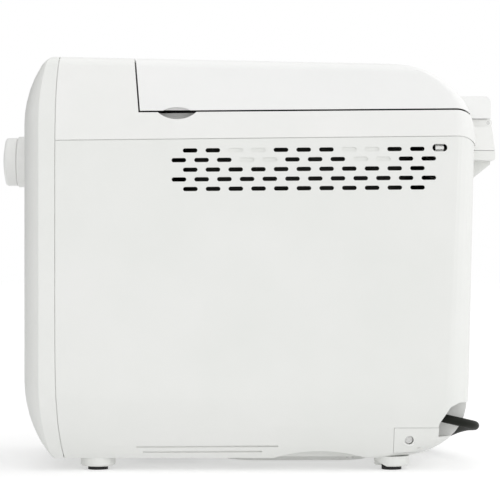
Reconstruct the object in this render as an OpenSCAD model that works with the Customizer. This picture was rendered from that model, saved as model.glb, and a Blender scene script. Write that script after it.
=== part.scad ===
// Bread machine: a moulded housing with a vented shell, a lid that opens on a pinned hinge,
// a bread pan in a heated chamber, and a belt drive that turns the kneading blade.
// The front faces -Y, the table is at Z = 0, and the origin is under the middle of the machine.

/* [Housing] */
// Width across the two side walls
housing_w = 240; // [232:1:252]
// Height of the top's front edge above the table
housing_h = 329; // [322:1:340]
// Height of the housing's lower rim above the table
rim_z = 10; // [9:0.5:12]
// From the origin forward to the front cover's corner line
front_reach = 174; // [170:1:180]
// How far the middle of the front stands ahead of its corners
front_bow = 7; // [3:0.5:9]
// From the origin back to the rear wall at its foot
rear_reach = 179; // [176:1:184]
// Backward lean of the rear wall, in degrees
rear_lean = 1.6; // [0.5:0.1:2.5]
// Wall thickness of the mouldings
wall = 2.6; // [2.2:0.1:3]
// Radius of the side walls' and the front's inward curve at the bottom
tuck_r = 95; // [85:1:110]
// Height of that curve
tuck_h = 61; // [50:1:66]
// Radius of the rear wall's curve into the underside
rear_tuck_r = 48; // [40:1:54]
// Radius of the upright rear corners
rear_corner_r = 20; // [14:1:24]
// Depth of the band that turns round the front cover's corners
corner_band = 12.5; // [9:0.5:14]
// Radius of the front cover's backward curve at the top
cover_top_r = 75; // [68:1:90]
// Height of that curve
cover_top_h = 52; // [44:1:56]
// Radius of the long upper edges
top_edge_r = 8; // [6:0.5:9]
// Fall of the top towards the back, in degrees
top_fall = 1.2; // [0.4:0.1:1.6]
// Radius of the lid's curve down to the rear wall
lid_rear_r = 66; // [58:1:70]

/* [Seams] */
// Depth of the front cover at its seam, from the corner line
cover_depth = 25.7; // [22:0.1:28]
// Width of the shadow line cut along a seam
reveal = 0.6; // [0.3:0.1:0.9]
// Depth of that shadow line
reveal_depth = 1.1; // [0.7:0.1:1.4]
// Height of the upper frame's side, at its front
frame_side_h = 23; // [21:0.2:25]
// Rise of that seam towards the back, in degrees
deck_rise = 0.6; // [0.2:0.1:0.9]
// Height of the lid's side, at its front
lid_side_h = 43.2; // [41:0.2:46]
// Rise of the lid's lower edge towards the back, in degrees
lid_rise = 0.45; // [0.1:0.05:0.6]
// Depth of the top deck, from the front cover's seam to the lid
deck_depth = 66.8; // [62:0.2:70]
// Backward lean of the lid's front edge going down, in degrees
lid_front_lean = 4.5; // [2:0.5:6]
// Open gap between the lid and the upper frame
lid_gap = 1.3; // [1:0.1:1.8]

/* [Side vents] */
// Length of one vent slot
slot_l = 11.5; // [9:0.1:13]
// Height of one vent slot
slot_h = 3.4; // [2.6:0.1:4]
// Spacing of the slots along a row
slot_pitch = 17.9; // [16:0.1:19]
// Spacing of the rows
row_pitch = 7.6; // [6:0.1:8.5]
// Number of rows
slot_rows = 5; // [3:1:5]
// Number of slots in the longer rows
slots_in_row = 12; // [8:1:12]
// Distance of the first row below the upper frame's seam
vent_drop = 9.2; // [8:0.2:14]
// From the origin forward to the first slot of the longer rows
vent_start = 56.7; // [52:0.1:60]
// Depth of the slots that are only marked, not cut through
blind_depth = 1; // [0.6:0.1:1.4]
// Length of the window that shows the frame's catch
window_l = 11.8; // [10:0.2:13]
// Height of that window
window_h = 5.9; // [5:0.1:7]

/* [Feet and underside] */
// Diameter of a foot
foot_d = 28; // [24:1:30]
// Distance of the feet from the middle, sideways
foot_x = 84; // [80:1:86]
// Distance of the front feet from the origin
foot_front = 117; // [114:1:120]
// Distance of the rear feet from the origin
foot_rear = 119; // [117:1:122]
// Diameter of a rubber pad
pad_d = 16; // [14:0.5:20]
// How far a pad stands out of its foot
pad_proud = 3; // [1.2:0.1:3.6]
// Half width of the base plate
base_half_w = 82; // [76:1:83]
// How far the belly of the base plate hangs below the rim
belly_drop = 6; // [3:0.5:6.5]
// Length of the belly along the machine
belly_l = 120; // [100:1:126]

/* [Hinge] */
// Width of the hinge blocks
hinge_w = 176; // [160:1:184]
// Drop of the hinge pin's axis below the lid's lower edge
hinge_drop = 7.6; // [6:0.2:9]
// From the foot of the rear wall back to the hinge pin's axis
hinge_back = 17.6; // [15:0.2:19]
// Diameter of the hinge pin
pin_d = 3; // [2.5:0.1:3.5]
// Diameter of the hinge knuckles
knuckle_d = 6.4; // [6:0.1:6.6]
// Height of the lid's hinge block above the knuckles
upper_block_h = 18; // [15:0.5:20]

/* [Control deck] */
// Width of the control panel
panel_w = 190; // [176:1:196]
// Depth of the control panel
panel_d = 42; // [38:1:44]
// Thickness of the control panel
panel_t = 1.2; // [0.8:0.1:1.6]
// Width of the display
display_w = 58; // [48:1:64]
// Depth of the display
display_d = 24; // [18:1:28]
// Length of a push button
button_l = 16; // [13:0.5:18]
// Width of a push button
button_w = 9; // [7:0.5:10]
// Spacing of the push buttons
button_pitch = 21; // [20:0.5:23]
// Travel of a push button
button_travel = 1; // [0.6:0.1:1.2]

/* [Dial] */
// Diameter of the dial
dial_d = 40.4; // [36:0.2:44]
// Length of the dial in front of its collar
dial_l = 12; // [9:0.5:13]
// Diameter of the dial's fixed collar
collar_d = 42.6; // [38:0.2:46]
// Length of the collar in front of the cover's middle
collar_l = 9; // [7:0.5:12]
// Drop of the dial's axis below the top
dial_drop = 79; // [73:1:85]
// Diameter of the dial's shaft
dial_shaft_d = 6; // [5:0.5:7]

/* [Baking chamber] */
// Inside width of the chamber
chamber_w = 188; // [182:1:192]
// Inside length of the chamber
chamber_l = 208; // [202:1:212]
// Radius of the chamber's upright corners
chamber_r = 30; // [20:1:36]
// Thickness of the chamber's sheet
sheet = 1; // [0.8:0.1:1.2]
// Height of the chamber's floor above the table
chamber_z = 66; // [64:1:70]
// From the origin back to the chamber's middle and the drive axis
pan_y = 43; // [41:1:45]
// Diameter of the heating tube
heater_d = 6.5; // [5:0.5:8]
// Height of the heating tube above the chamber's floor
heater_rise = 26; // [22:1:32]

/* [Bread pan] */
// Outside width of the pan
pan_w = 136; // [126:1:142]
// Outside length of the pan
pan_l = 166; // [156:1:172]
// Height of the pan's wall
pan_h = 128; // [116:1:132]
// Radius of the pan's upright corners
pan_r = 16; // [12:1:24]
// Thickness of the pan's wall
pan_t = 1.8; // [1.4:0.1:2.4]
// Thickness of the pan's handle wire
handle_d = 4; // [3:0.5:5]
// Reach of the handle from its pivots
handle_reach = 57; // [50:1:58]

/* [Drive] */
// Diameter of the drive shaft and the pan's shaft
shaft_d = 8; // [7:0.5:9]
// Pitch diameter of the large pulley
pulley_d = 114; // [104:1:118]
// Pitch diameter of the small pulley
pinion_d = 19; // [17:1:24]
// Width of the drive belt
belt_w = 8; // [6:0.5:9]
// Spacing of the belt's ribs
rib_pitch = 2.3; // [2:0.1:2.6]
// Diameter of the motor
motor_d = 72; // [64:1:76]
// Height of the motor
motor_h = 66; // [56:1:76]
// Radial clearance of a shaft in its bush
run_fit = 0.05; // [0.03:0.01:0.09]

/* [Dispenser] */
// Width of the dispenser's door in the lid
door_w = 112; // [100:1:120]
// Length of the dispenser's door
door_l = 84; // [76:1:92]
// Inside width of the dispenser
hopper_w = 84; // [76:1:88]
// Inside length of the dispenser
hopper_l = 56; // [48:1:60]

/* [Power cord] */
// Diameter of the cord
cord_d = 7; // [6:0.5:7.5]
// Middle radius of the stored coil
coil_r = 40; // [36:1:46]

/* [Hidden] */

$fn = 64;
white = [0.93, 0.93, 0.91];
grey = [0.42, 0.43, 0.44];
dark = [0.12, 0.12, 0.13];
steel = [0.72, 0.73, 0.75];
coat = [0.24, 0.24, 0.25];

far = 400;                      // longer than the machine, for cutting shapes
leaf = 0.02;                    // thickness of one slice of a lofted form
fit = 0.3;                      // clearance between pieces that pass each other
floor_t = 3;                    // thickness of the shell's lower rim
half_w = housing_w / 2;
tuck_z = rim_z + tuck_h;
crown_z = housing_h - top_edge_r;
cover_arc_z = housing_h - cover_top_h;
lid_arc_z = housing_h - lid_rear_r;
rear_arc_y = rear_reach - rear_tuck_r;
rear_arc_z = rim_z + rear_tuck_r;
fall_y = -front_reach + 21;     // the top falls away behind this line
corner_fade = 37;               // height over which the rear corners tighten
seam_y = -front_reach + cover_depth;
seam_mid_z = 190;               // the cover's seam is upright here
lid_front_y = seam_y + deck_depth;
lid_seam_h = housing_h - lid_side_h;
deck_seam_h = lid_seam_h - frame_side_h;
hinge_z = lid_seam_h - hinge_drop;
hinge_y = rear_reach + hinge_back;
dial_z = housing_h - dial_drop;
bay_z = dial_z;                 // slices below this height stay level

// ---- outer form -------------------------------------------------------------

// Setback of an arc of radius r, t inside the skin, d past its tangent
function drop(r, t, d) = r - sqrt(max(pow(r - t, 2) - d * d, 0));
function clamp(v, low, high) = min(max(v, low), high);

function side_inset(z, t) =
    z < tuck_z ? drop(tuck_r, t, tuck_z - z)
    : z > crown_z ? drop(top_edge_r, t, z - crown_z)
    : t;
function side_x(z, t) = half_w - side_inset(z, t);

function rear_line(z, t) =
    rear_arc_y + (rear_tuck_r - t) / cos(rear_lean) + (z - rear_arc_z) * tan(rear_lean);
function rear_y(z, t) =
    z < rear_arc_z - (rear_tuck_r - t) * sin(rear_lean)
        ? rear_arc_y + sqrt(max(pow(rear_tuck_r - t, 2) - pow(rear_arc_z - z, 2), 0))
    : z > lid_arc_z
        ? rear_line(lid_arc_z, t) + t - drop(lid_rear_r, t, z - lid_arc_z)
    : rear_line(z, t);
function rear_corner(z, t) =
    (z < tuck_z
        ? rear_corner_r + 0.9 * side_inset(z, 0)
        : rear_corner_r - (rear_corner_r - top_edge_r) * clamp((z - lid_arc_z) / corner_fade, 0, 1)
    ) - t;

// One level outline of the shell, the frame and the lid, from y = front to the rear wall
function rear_outline(z, t, front) =
    let (x = side_x(z, t), y = rear_y(z, t), r = rear_corner(z, t))
    concat(
        [[-x, front], [x, front]],
        [for (a = [0 : 9 : 90]) [x - r + r * cos(a), y - r + r * sin(a)]],
        [for (a = [90 : 9 : 180]) [-x + r + r * cos(a), y - r + r * sin(a)]]
    );

function front_setback(z, t) =
    z < tuck_z ? drop(tuck_r, t, tuck_z - z)
    : z > cover_arc_z ? drop(cover_top_r, t, z - cover_arc_z) + cover_soften(z)
    : t;
// The cover's arc rolls over into the top
function cover_soften(z) = 3 * (1 - sqrt(1 - pow(clamp((z - crown_z) / top_edge_r, 0, 1), 2)));
// Depth of the corner band, which thins out as the front curves back
function band(z) = max(corner_band - 0.6 * front_setback(z, 0), 1.5);

// One level outline of the front cover: a bowed face, round bands and a crease at each side
function front_outline(z, t, back) =
    let (
        x = side_x(z, t),
        y = -front_reach + front_setback(z, t),
        r = 1.87 * band(z),
        x_face = x - r * (cos(27) - cos(82)),
        right = concat(
            [for (i = [0 : 6]) let (u = i / 6 * x_face) [u, y - front_bow * (1 - pow(i / 6, 2))]],
            [for (a = [73 : -9.2 : 26.9]) [x - r * (cos(27) - cos(a)), y + r * (sin(82) - sin(a))]]
        ),
        n = len(right)
    )
    concat([for (i = [1 : n - 1]) let (p = right[n - i]) [-p[0], p[1]]], right, [[x, back], [-x, back]]);

// A thin slice at height z; above bay_z the slices lean until the top one has the fall of the top
module slice(z, outline)
    translate([0, fall_y, z])
        rotate([-top_fall * clamp((z - bay_z) / (housing_h - bay_z), 0, 1), 0, 0])
            translate([0, -fall_y, 0]) linear_extrude(leaf) polygon(outline);

shell_top_z = 275;
tuck_levels = [for (a = [90 : -9 : 0]) rear_arc_z - rear_tuck_r * sin(a)];
crown_levels = [for (a = [0 : 15 : 90]) crown_z + top_edge_r * sin(a)];

// The shell's form, t inside its skin
module shell_form(t = 0, front = -160)
    hull() {
        for (z = concat(tuck_levels, [tuck_z, shell_top_z]))
            let (h = max(z, rim_z + (t > 0 ? floor_t : 0))) slice(h, rear_outline(h, t, front));
    }

// The form of the upper frame and the lid
module top_form(t = 0, front = -160)
    hull() {
        for (z = concat([bay_z, lid_arc_z], [for (a = [10 : 10 : 50]) lid_arc_z + lid_rear_r * sin(a)],
                        crown_levels))
            let (h = min(z, housing_h - t)) slice(h, rear_outline(h, t, front));
    }

// The front cover's form
module cover_form(t = 0, back = seam_y + 12)
    hull() {
        for (z = concat([for (i = [0 : 8]) rim_z + tuck_h * pow(i / 8, 1.2)],
                        [for (i = [0 : 5]) cover_arc_z + (crown_z - cover_arc_z) * i / 5],
                        crown_levels))
            let (h = clamp(z, rim_z + (t > 0 ? floor_t : 0), housing_h - t))
                slice(h, front_outline(h, t, back));
    }

// ---- cutting regions, drawn in the side view --------------------------------

// Extrudes a side view (y to the right, z up) from x = from to x = to
module across(from = -far, to = far)
    translate([from, 0, 0]) rotate([90, 0, 90]) linear_extrude(to - from) children();

// The front cover's seam bends back at its two ends
function seam_at(z) =
    seam_y + (z > seam_mid_z
        ? 4 * pow((z - seam_mid_z) / (housing_h - seam_mid_z), 6)
        : 5.6 * pow((seam_mid_z - z) / (seam_mid_z - rim_z), 6));
seam_heights = concat([-20], [for (i = [0 : 8]) rim_z - 1 + (seam_mid_z - rim_z) * (1 - cos(90 * i / 8)) * 0.99],
                      [for (i = [1 : 8]) seam_mid_z + (housing_h + 3 - seam_mid_z) * sin(90 * i / 8)], [far]);

module ahead_of_seam(shift = 0)
    across() polygon(concat([[-far, far], [-far, -20]],
                            [for (z = seam_heights) [seam_at(min(z, housing_h + 3)) + shift, z]]));

// Everything below a seam that rises from height h at y0 and bends down round the rear wall
module below_line(h, y0, rise, bend_y, bend_r, down) {
    function line(y) = h + (y - y0) * tan(rise);
    polygon([[-far, -far], [bend_y, -far], [bend_y, line(bend_y) - down], [-far, line(-far) - down]]);
    translate([bend_y, line(bend_y) - bend_r]) circle(bend_r - down);
    translate([bend_y - 1, -far]) square([bend_r - down + 1, far + line(bend_y) - bend_r]);
}
deck_bend_y = 170;
deck_bend_r = 19;
lid_bend_y = 168;
lid_bend_r = 20;
module below_deck_seam(up = 0)
    across() below_line(deck_seam_h, seam_y, deck_rise, deck_bend_y, deck_bend_r, -up);
module below_lid_2d(down = 0)
    below_line(lid_seam_h, lid_front_y, lid_rise, lid_bend_y, lid_bend_r, down);

// The lid's region: above its seam and behind its front edge
module lid_region_2d(grow = 0, front_wall = 0) {
    difference() {
        translate([lid_front_y + front_wall - grow, lid_seam_h])
            rotate(lid_front_lean) translate([0, -60]) square([far, far]);
        below_lid_2d(grow);
    }
}
module lid_region(grow = 0, front_wall = 0) across() lid_region_2d(grow, front_wall);

// ---- small helpers ----------------------------------------------------------

module rounded_rect(w, l, r) {
    square([w - 2 * r, l], center = true);
    square([w, l - 2 * r], center = true);
    for (x = [-1, 1], y = [-1, 1]) translate([x * (w / 2 - r), y * (l / 2 - r)]) circle(r);
}
module stadium(l, h) {
    square([l - h, h], center = true);
    for (s = [-1, 1]) translate([s * (l - h) / 2, 0]) circle(h / 2);
}
module both_sides() {
    children();
    mirror([1, 0, 0]) children();
}
module pipe(r_out, r_in, h)
    difference() {
        cylinder(r = r_out, h = h);
        translate([0, 0, -1]) cylinder(r = r_in, h = h + 2);
    }
module at_pan(z = 0) translate([0, pan_y, z]) children();
// Stands on the falling top, y forward or back from the origin, z up out of the surface
module on_top(y = 0)
    translate([0, fall_y, housing_h]) rotate([-top_fall, 0, 0])
        translate([0, (y - fall_y) / cos(top_fall), 0]) children();
// Lies on the front, y pointing up and z pointing out
module on_front(z) translate([0, -front_reach - front_bow, z]) rotate([90, 0, 0]) children();

// ---- housing ----------------------------------------------------------------

encoder_seat = 8;               // length of the collar's neck behind the cover's face
neck_d = 14;
board_post_y = -148;            // the power board stands here, behind the cover
board_z = 168;
board_w = 120;
board_h = 72;

module front_cover() color(white)
    difference() {
        union() {
            intersection() {
                cover_form();
                ahead_of_seam(-reveal);
            }
            intersection() {
                cover_form(reveal_depth);
                ahead_of_seam();
            }
        }
        difference() {
            cover_form(wall, far / 8);
            // Posts for the power board
            for (x = [-1, 1], z = [-1, 1])
                translate([x * (board_w / 2 - 7), board_post_y - 1.6, board_z + z * (board_h / 2 - 7)])
                    rotate([90, 0, 0]) cylinder(d = 7, h = 60);
        }
        // Seat for the dial's collar
        on_front(dial_z) translate([0, 0, -collar_seat]) cylinder(d = collar_d + 0.2, h = 20);
        on_front(dial_z) translate([0, 0, -20]) cylinder(d = neck_d + 0.2, h = 40);
    }
collar_seat = 0.6;

// Centres of the slots in one row, along y
function row_slots(row) = slots_in_row - (row % 2 == 0 ? 1 : 0);
function slot_y(row, i) = (row % 2 == 0 ? slot_pitch / 2 : 0) + i * slot_pitch;
// The two upper rows have pairs of slots that are only marked
function is_blind(row, i) = row < 2 && (i % 5 == 2 + row || i % 5 == 3 + row);
vent_rise = 0.4;
module vent_field(blind)
    translate([-vent_start, deck_seam_h - vent_drop + 0.8]) rotate(vent_rise)
        for (row = [0 : slot_rows - 1], i = [0 : row_slots(row) - 1])
            if (is_blind(row, i) == blind)
                translate([slot_y(row, i) + slot_l / 2, -row * row_pitch]) stadium(slot_l, slot_h);
window_y = rear_reach - 24.2;
window_z = deck_seam_h - 6.1;

// Hinge blocks: the lower one is split between the shell and the upper frame
knuckle_r = knuckle_d / 2;
block_top_z = hinge_z - knuckle_r - 0.1;
block_back = hinge_y + 2.6;
shelf_z = hinge_z - 30;
block_seam_z = shelf_z + 7.8;
block_root_y = rear_reach - 3;
module lower_block_2d()
    polygon([[block_root_y, shelf_z], [block_back + 2.2, shelf_z], [block_back + 2.8, shelf_z + 1],
             [block_back + 2.8, block_seam_z], [block_back, block_top_z], [block_root_y, block_top_z]]);

// The cord's pocket in the right rear corner, with a cover in front of it
pocket = [half_w - 30, rear_reach - 41, rim_z + 17.5];
pocket_top = pocket[2] + 27.9;
module pocket_2d()
    translate([rear_reach, pocket[2]])
        polygon([[-24.2, 0], [-24.2, 10.7], [-15.2, 24.5], [-8, pocket_top - pocket[2]],
                 [31, pocket_top - pocket[2]], [31, 0]]);
cord_cover_y = [rear_reach - 59.8, rear_reach - 24];
cord_cover_z = [rim_z + 4, pocket[2] + 7.9];
cover_screw = [cord_cover_y[0] + 12.3, cord_cover_z[0] + 11.2];
screw_seat_x = half_w - 20;
cover_boss_d = 10;
module at_cover_screw(x)
    translate([screw_seat_x + x, cover_screw[0], cover_screw[1]]) rotate([0, 90, 0]) children();
module cord_cover_box(gap = 0)
    across(pocket[0] - 2, far) translate([cord_cover_y[0] + gap, cord_cover_z[0] + gap])
        square([cord_cover_y[1] - cord_cover_y[0] - gap, cord_cover_z[1] - cord_cover_z[0] - 2 * gap]);

plate_front = -96;
plate_back = 104;
plate_mid = (plate_front + plate_back) / 2;
plate_t = 1.5;
ledge = 4;                      // width of the ledge that the base plate seats on
module plate_outline(grow = 0)
    translate([0, plate_mid])
        rounded_rect(2 * base_half_w + 2 * grow, plate_back - plate_front + 2 * grow, 18 + grow);
base_screw_x = base_half_w - 7;
base_screw_y = [-80, 4, 86];
module at_base_screws() for (x = [-1, 1], y = base_screw_y) translate([x * base_screw_x, y, 0]) children();
foot_edge = 1.2;
module at_feet()
    for (x = [-1, 1], y = [-foot_front, foot_rear]) translate([x * foot_x, y, 0]) children();
// Hand hold in the lower edge of each side wall
scoop_mid = 61;
scoop_half = 37;
scoop_h = 6;
scoop_r = (scoop_half * scoop_half + scoop_h * scoop_h) / (2 * scoop_h);
scoop_x = base_half_w + 3;
module scoop(grow = 0)
    across(scoop_x - grow, far)
        translate([scoop_mid, rim_z + scoop_h - scoop_r]) circle(scoop_r + grow, $fn = 180);

module body_shell() color(white) {
    difference() {
        union() {
            difference() {
                union() {
                    intersection() {
                        shell_form();
                        below_deck_seam(-reveal);
                    }
                    intersection() {
                        shell_form(reveal_depth);
                        below_deck_seam();
                    }
                }
                ahead_of_seam();
            }
            across(-hinge_w / 2, hinge_w / 2) intersection() {
                lower_block_2d();
                square([far, block_seam_z - fit]);
            }
            // Wedge under the hinge block
            across(-hinge_w / 2 + 18, hinge_w / 2 - 18)
                polygon([[176, shelf_z + 1], [block_back + 1, shelf_z + 1], [block_back + 0.6, shelf_z - 3],
                         [187, 235], [176, 226]]);
            at_feet() translate([0, 0, pad_proud]) {
                cylinder(d1 = foot_d - 2 * foot_edge, d2 = foot_d, h = foot_edge);
                translate([0, 0, foot_edge]) cylinder(d = foot_d, h = rim_z + 1 - pad_proud - foot_edge);
            }
        }
        difference() {
            shell_form(wall, front = -far);
            // Block that the cord's pocket is cut in
            across(pocket[0] - wall, far) translate([pocket[1] - wall, 0])
                square([100, pocket_top + wall]);
            both_sides() scoop(wall);
            at_base_screws() cylinder(d = 9, h = 24);
            at_cover_screw(-14) cylinder(d = 9, h = 14);
        }
        translate([0, 0, rim_z - 1]) linear_extrude(plate_t + 1) plate_outline(fit);
        difference() {
            translate([0, 0, rim_z]) linear_extrude(floor_t + 1) plate_outline(-ledge);
            at_base_screws() cylinder(d = 9, h = 24);
        }
        at_base_screws() cylinder(d = 2.9, h = 20);
        at_feet() translate([0, 0, -1]) cylinder(d = pad_d + 0.2, h = pad_proud + 3);
        across() vent_field(false);
        both_sides() across(half_w - blind_depth, far) vent_field(true);
        across() translate([window_y, window_z]) stadium(window_l, window_h);
        // The pocket, open to the side and to the back
        intersection() {
            translate(pocket) cube([far, 170 - pocket[1], pocket_top - pocket[2]]);
            shell_form(wall, front = -far);
        }
        across(pocket[0], far) pocket_2d();
        difference() {
            cord_cover_box();
            shell_form(wall, front = -far);
        }
        at_cover_screw(-12) cylinder(d = 2.9, h = 40);
        at_cover_screw(0) cylinder(d = cover_boss_d + 2 * fit, h = 20);
        translate([cord_x, pocket[1] - 20, gland_z])
            rotate([-90, 0, 0]) cylinder(d = gland_neck_d + 0.2, h = 40);
        both_sides() scoop();
        both_sides() across(103.4, far) translate([-28.7, 19.8]) rotate(0.3) stadium(113, 1.3);
        both_sides() across(100.4, far) translate([-32.5, 15.4]) rotate(0.3) stadium(95, 1.3);
    }
}

// ---- upper frame ------------------------------------------------------------

opening_w = chamber_w + 9;
opening_l = chamber_l + 9;
opening_r = chamber_r + 4.5;
flange_z = chamber_z + 215;     // top of the chamber's flange
collar_wall = 2.6;
module opening(grow = 0)
    translate([0, pan_y]) rounded_rect(opening_w + 2 * grow, opening_l + 2 * grow, opening_r + grow);

grip_y = -52.3;
grip_half = 15;
grip_depth = 5.4;
grip_r = (grip_half * grip_half + grip_depth * grip_depth) / (2 * grip_depth);
grip_z = lid_seam_h - lid_gap - grip_depth;
grip_x = 106;
module grip(grow = 0)
    across(grip_x - grow, far) translate([grip_y, grip_z + grip_r]) circle(grip_r + grow);

panel_y = seam_y + deck_depth / 2 - 1;
display_x = 0;
display_ledge = 2;
button_x = [for (side = [-1, 1], i = [-1 : 1]) side * (display_w + 3 * button_pitch) / 2 + i * button_pitch];
board_drop = 10.4;              // top of the control board, below the top
board_posts = [[-82, -15], [-82, 15], [82, -15], [82, 15]];

catch_w = 6.6;
catch_l = 30;
catch_root_h = 8;
module catches()
    both_sides() {
        translate([half_w - wall - 4.6, window_y - catch_w / 2, window_z - 6.7]) cube([2, catch_w, catch_l]);
        translate([half_w - wall - 3, window_y - catch_w / 2, deck_seam_h + 7.2]) cube([4, catch_w, catch_root_h]);
        translate([half_w - wall - 3, window_y - catch_w / 2, window_z - 1.2]) cube([3.6, catch_w, 2.4]);
    }

// Knuckles along the hinge pin, each [from, to]
end_inset = 3;                  // the hinge's two ends are set back in its blocks
frame_knuckles = [[-hinge_w / 2 + end_inset, -hinge_w / 2 + 22], [-20, 20],
                  [hinge_w / 2 - 22, hinge_w / 2 - end_inset]];
lid_knuckles = [[-hinge_w / 2 + 22.4, -20.4], [20.4, hinge_w / 2 - 22.4]];
module knuckles(spans, web_low, web_high, web_back)
    for (s = spans)
        across(s[0], s[1]) {
            translate([hinge_y, hinge_z]) circle(knuckle_r);
            translate([hinge_y - knuckle_r, web_low]) square([knuckle_r + web_back, web_high - web_low]);
        }

module upper_frame() color(white)
    difference() {
        union() {
            difference() {
                top_form();
                ahead_of_seam();
                below_deck_seam();
                lid_region(lid_gap);
                difference() {
                    top_form(wall, front = -far);
                    lid_region(lid_gap + wall);
                    translate([0, 0, flange_z]) linear_extrude(20) opening(collar_wall);
                    both_sides() grip(wall);
                    on_top(panel_y) for (p = board_posts)
                        translate([p[0], p[1], -board_drop]) cylinder(d = 6, h = board_drop);
                }
            }
            across(-hinge_w / 2, hinge_w / 2) difference() {
                lower_block_2d();
                square([far, block_seam_z]);
                square([rear_reach + 4, far]);
                square([rear_line(deck_seam_h, 0) + fit, deck_seam_h]);
            }
            knuckles(frame_knuckles, block_top_z - 0.5, hinge_z, 2.5);
            // Webs that close the two ends of the hinge
            both_sides() across(hinge_w / 2 - 22, hinge_w / 2 - end_inset)
                polygon([[181, block_top_z - 0.5], [181, hinge_z], [184.2, hinge_z + knuckle_r - 0.3],
                         [hinge_y, hinge_z + knuckle_r - 0.3], [hinge_y, block_top_z - 0.5]]);
            catches();
        }
        translate([0, 0, flange_z - 20]) linear_extrude(60) opening();
        both_sides() grip();
        across() translate([hinge_y, hinge_z]) circle(d = pin_d);
        on_top(panel_y) {
            translate([0, 0, -panel_t]) linear_extrude(10) rounded_rect(panel_w + 0.4, panel_d + 0.4, 6);
            translate([display_x, 0, -6]) linear_extrude(10)
                rounded_rect(display_w - 2 * display_ledge, display_d - 2 * display_ledge, 2);
            for (x = button_x)
                translate([x, 0, -6]) linear_extrude(10) stadium(button_l + 2 * fit, button_w + 2 * fit);
        }
    }

// ---- housing's smaller pieces -----------------------------------------------

belly_mid = 43;
belly_w = 112;
module base_plate() color(white)
    difference() {
        translate([0, 0, rim_z - belly_drop]) union() {
            linear_extrude(plate_t) translate([0, belly_mid]) rounded_rect(belly_w, belly_l, 30);
            linear_extrude(belly_drop + plate_t) difference() {
                translate([0, belly_mid]) rounded_rect(belly_w, belly_l, 30);
                translate([0, belly_mid]) rounded_rect(belly_w - 3, belly_l - 3, 28.5);
            }
            translate([0, 0, belly_drop]) linear_extrude(plate_t) difference() {
                plate_outline();
                translate([0, belly_mid]) rounded_rect(belly_w - 2, belly_l - 2, 29);
            }
        }
        at_base_screws() translate([0, 0, rim_z - 1]) cylinder(d = 3.4, h = 4);
        // Air slots under the motor
        for (x = [-35 : 10 : 35], y = [-78, -50])
            translate([x, y, rim_z - 1]) linear_extrude(4) rotate(90) stadium(22, 3.4);
    }

module screw(head_d, head_h, shank_d, length) {
    difference() {
        cylinder(d = head_d, h = head_h);
        for (a = [0, 90])
            rotate(a) translate([-head_d * 0.32, -0.5, -1]) cube([head_d * 0.64, 1, 1 + head_h * 0.6]);
    }
    cylinder(d = shank_d, h = head_h + length);
}
screw_head_d = 6;
screw_shank_d = 2.8;
module base_screws() color(steel)
    at_base_screws() translate([0, 0, rim_z - 2]) screw(screw_head_d, 2, screw_shank_d, 9);

module foot_pads() color(dark)
    at_feet() {
        cylinder(d = pad_d, h = pad_proud + 2);
        cylinder(d = pad_d - 3, h = 0.6);
    }

module cord_cover() color(white)
    difference() {
        union() {
            difference() {
                shell_form();
                shell_form(wall, front = -far);
            }
            at_cover_screw(0) cylinder(d = cover_boss_d, h = 7.4);
        }
        difference() {
            translate([-far, -far, -far]) cube(2 * far);
            cord_cover_box(0.25);
        }
        at_cover_screw(1.6) cylinder(d = 7, h = 40);
        at_cover_screw(-1) cylinder(d = 3.4, h = 40);
        across(98, far) translate([140.6, 18]) rotate(-12) stadium(4, 1.4);
    }
module cord_cover_screw() color(steel)
    translate([screw_seat_x + 3.6, cover_screw[0], cover_screw[1]])
        rotate([0, -90, 0]) screw(screw_head_d, 2, screw_shank_d, 10);

// A spigot on the collar stands in a recess of the dial
spigot_r = collar_d / 2 - 3;
spigot_l = 1.2;
module dial_collar() color(white)
    on_front(dial_z) rotate_extrude($fn = 96)
        polygon([[dial_shaft_d / 2 + fit, -encoder_seat], [neck_d / 2, -encoder_seat],
                 [neck_d / 2, -collar_seat],
                 [collar_d / 2, -collar_seat], [collar_d / 2, collar_l - 0.8], [collar_d / 2 - 0.8, collar_l],
                 [spigot_r, collar_l], [spigot_r, collar_l + spigot_l],
                 [dial_shaft_d / 2 + fit, collar_l + spigot_l]]);

module control_panel() color(grey)
    on_top(panel_y) translate([0, 0, -panel_t]) linear_extrude(panel_t) difference() {
        rounded_rect(panel_w, panel_d, 6);
        translate([display_x, 0]) rounded_rect(display_w + 0.2, display_d + 0.2, 2);
        for (x = button_x) translate([x, 0]) stadium(button_l + 2 * fit, button_w + 2 * fit);
    }
module display_glass() color(dark)
    on_top(panel_y) translate([display_x, 0, -panel_t]) linear_extrude(panel_t)
        rounded_rect(display_w, display_d, 2);

module control_board() color([0.1, 0.35, 0.2])
    on_top(panel_y) {
        translate([0, 0, -board_drop - 1.6]) linear_extrude(1.6) difference() {
            square([172, 38], center = true);
            for (p = board_posts) translate(p) circle(d = 2.6);
        }
        // Display module under the glass
        translate([display_x - display_w / 2 + 3, -display_d / 2 + 3, -board_drop])
            cube([display_w - 6, display_d - 6, board_drop - 3.2]);
        // A switch under each button
        for (x = button_x) {
            translate([x - 3, -3, -board_drop]) cube([6, 6, 1.6]);
            translate([x, 0, -board_drop + 1.6]) cylinder(d = 3, h = switch_top - 1.6);
        }
        translate([-66, 9, -board_drop - 5]) cube([12, 6, 3.4]);
    }
switch_top = 2.6;

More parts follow.
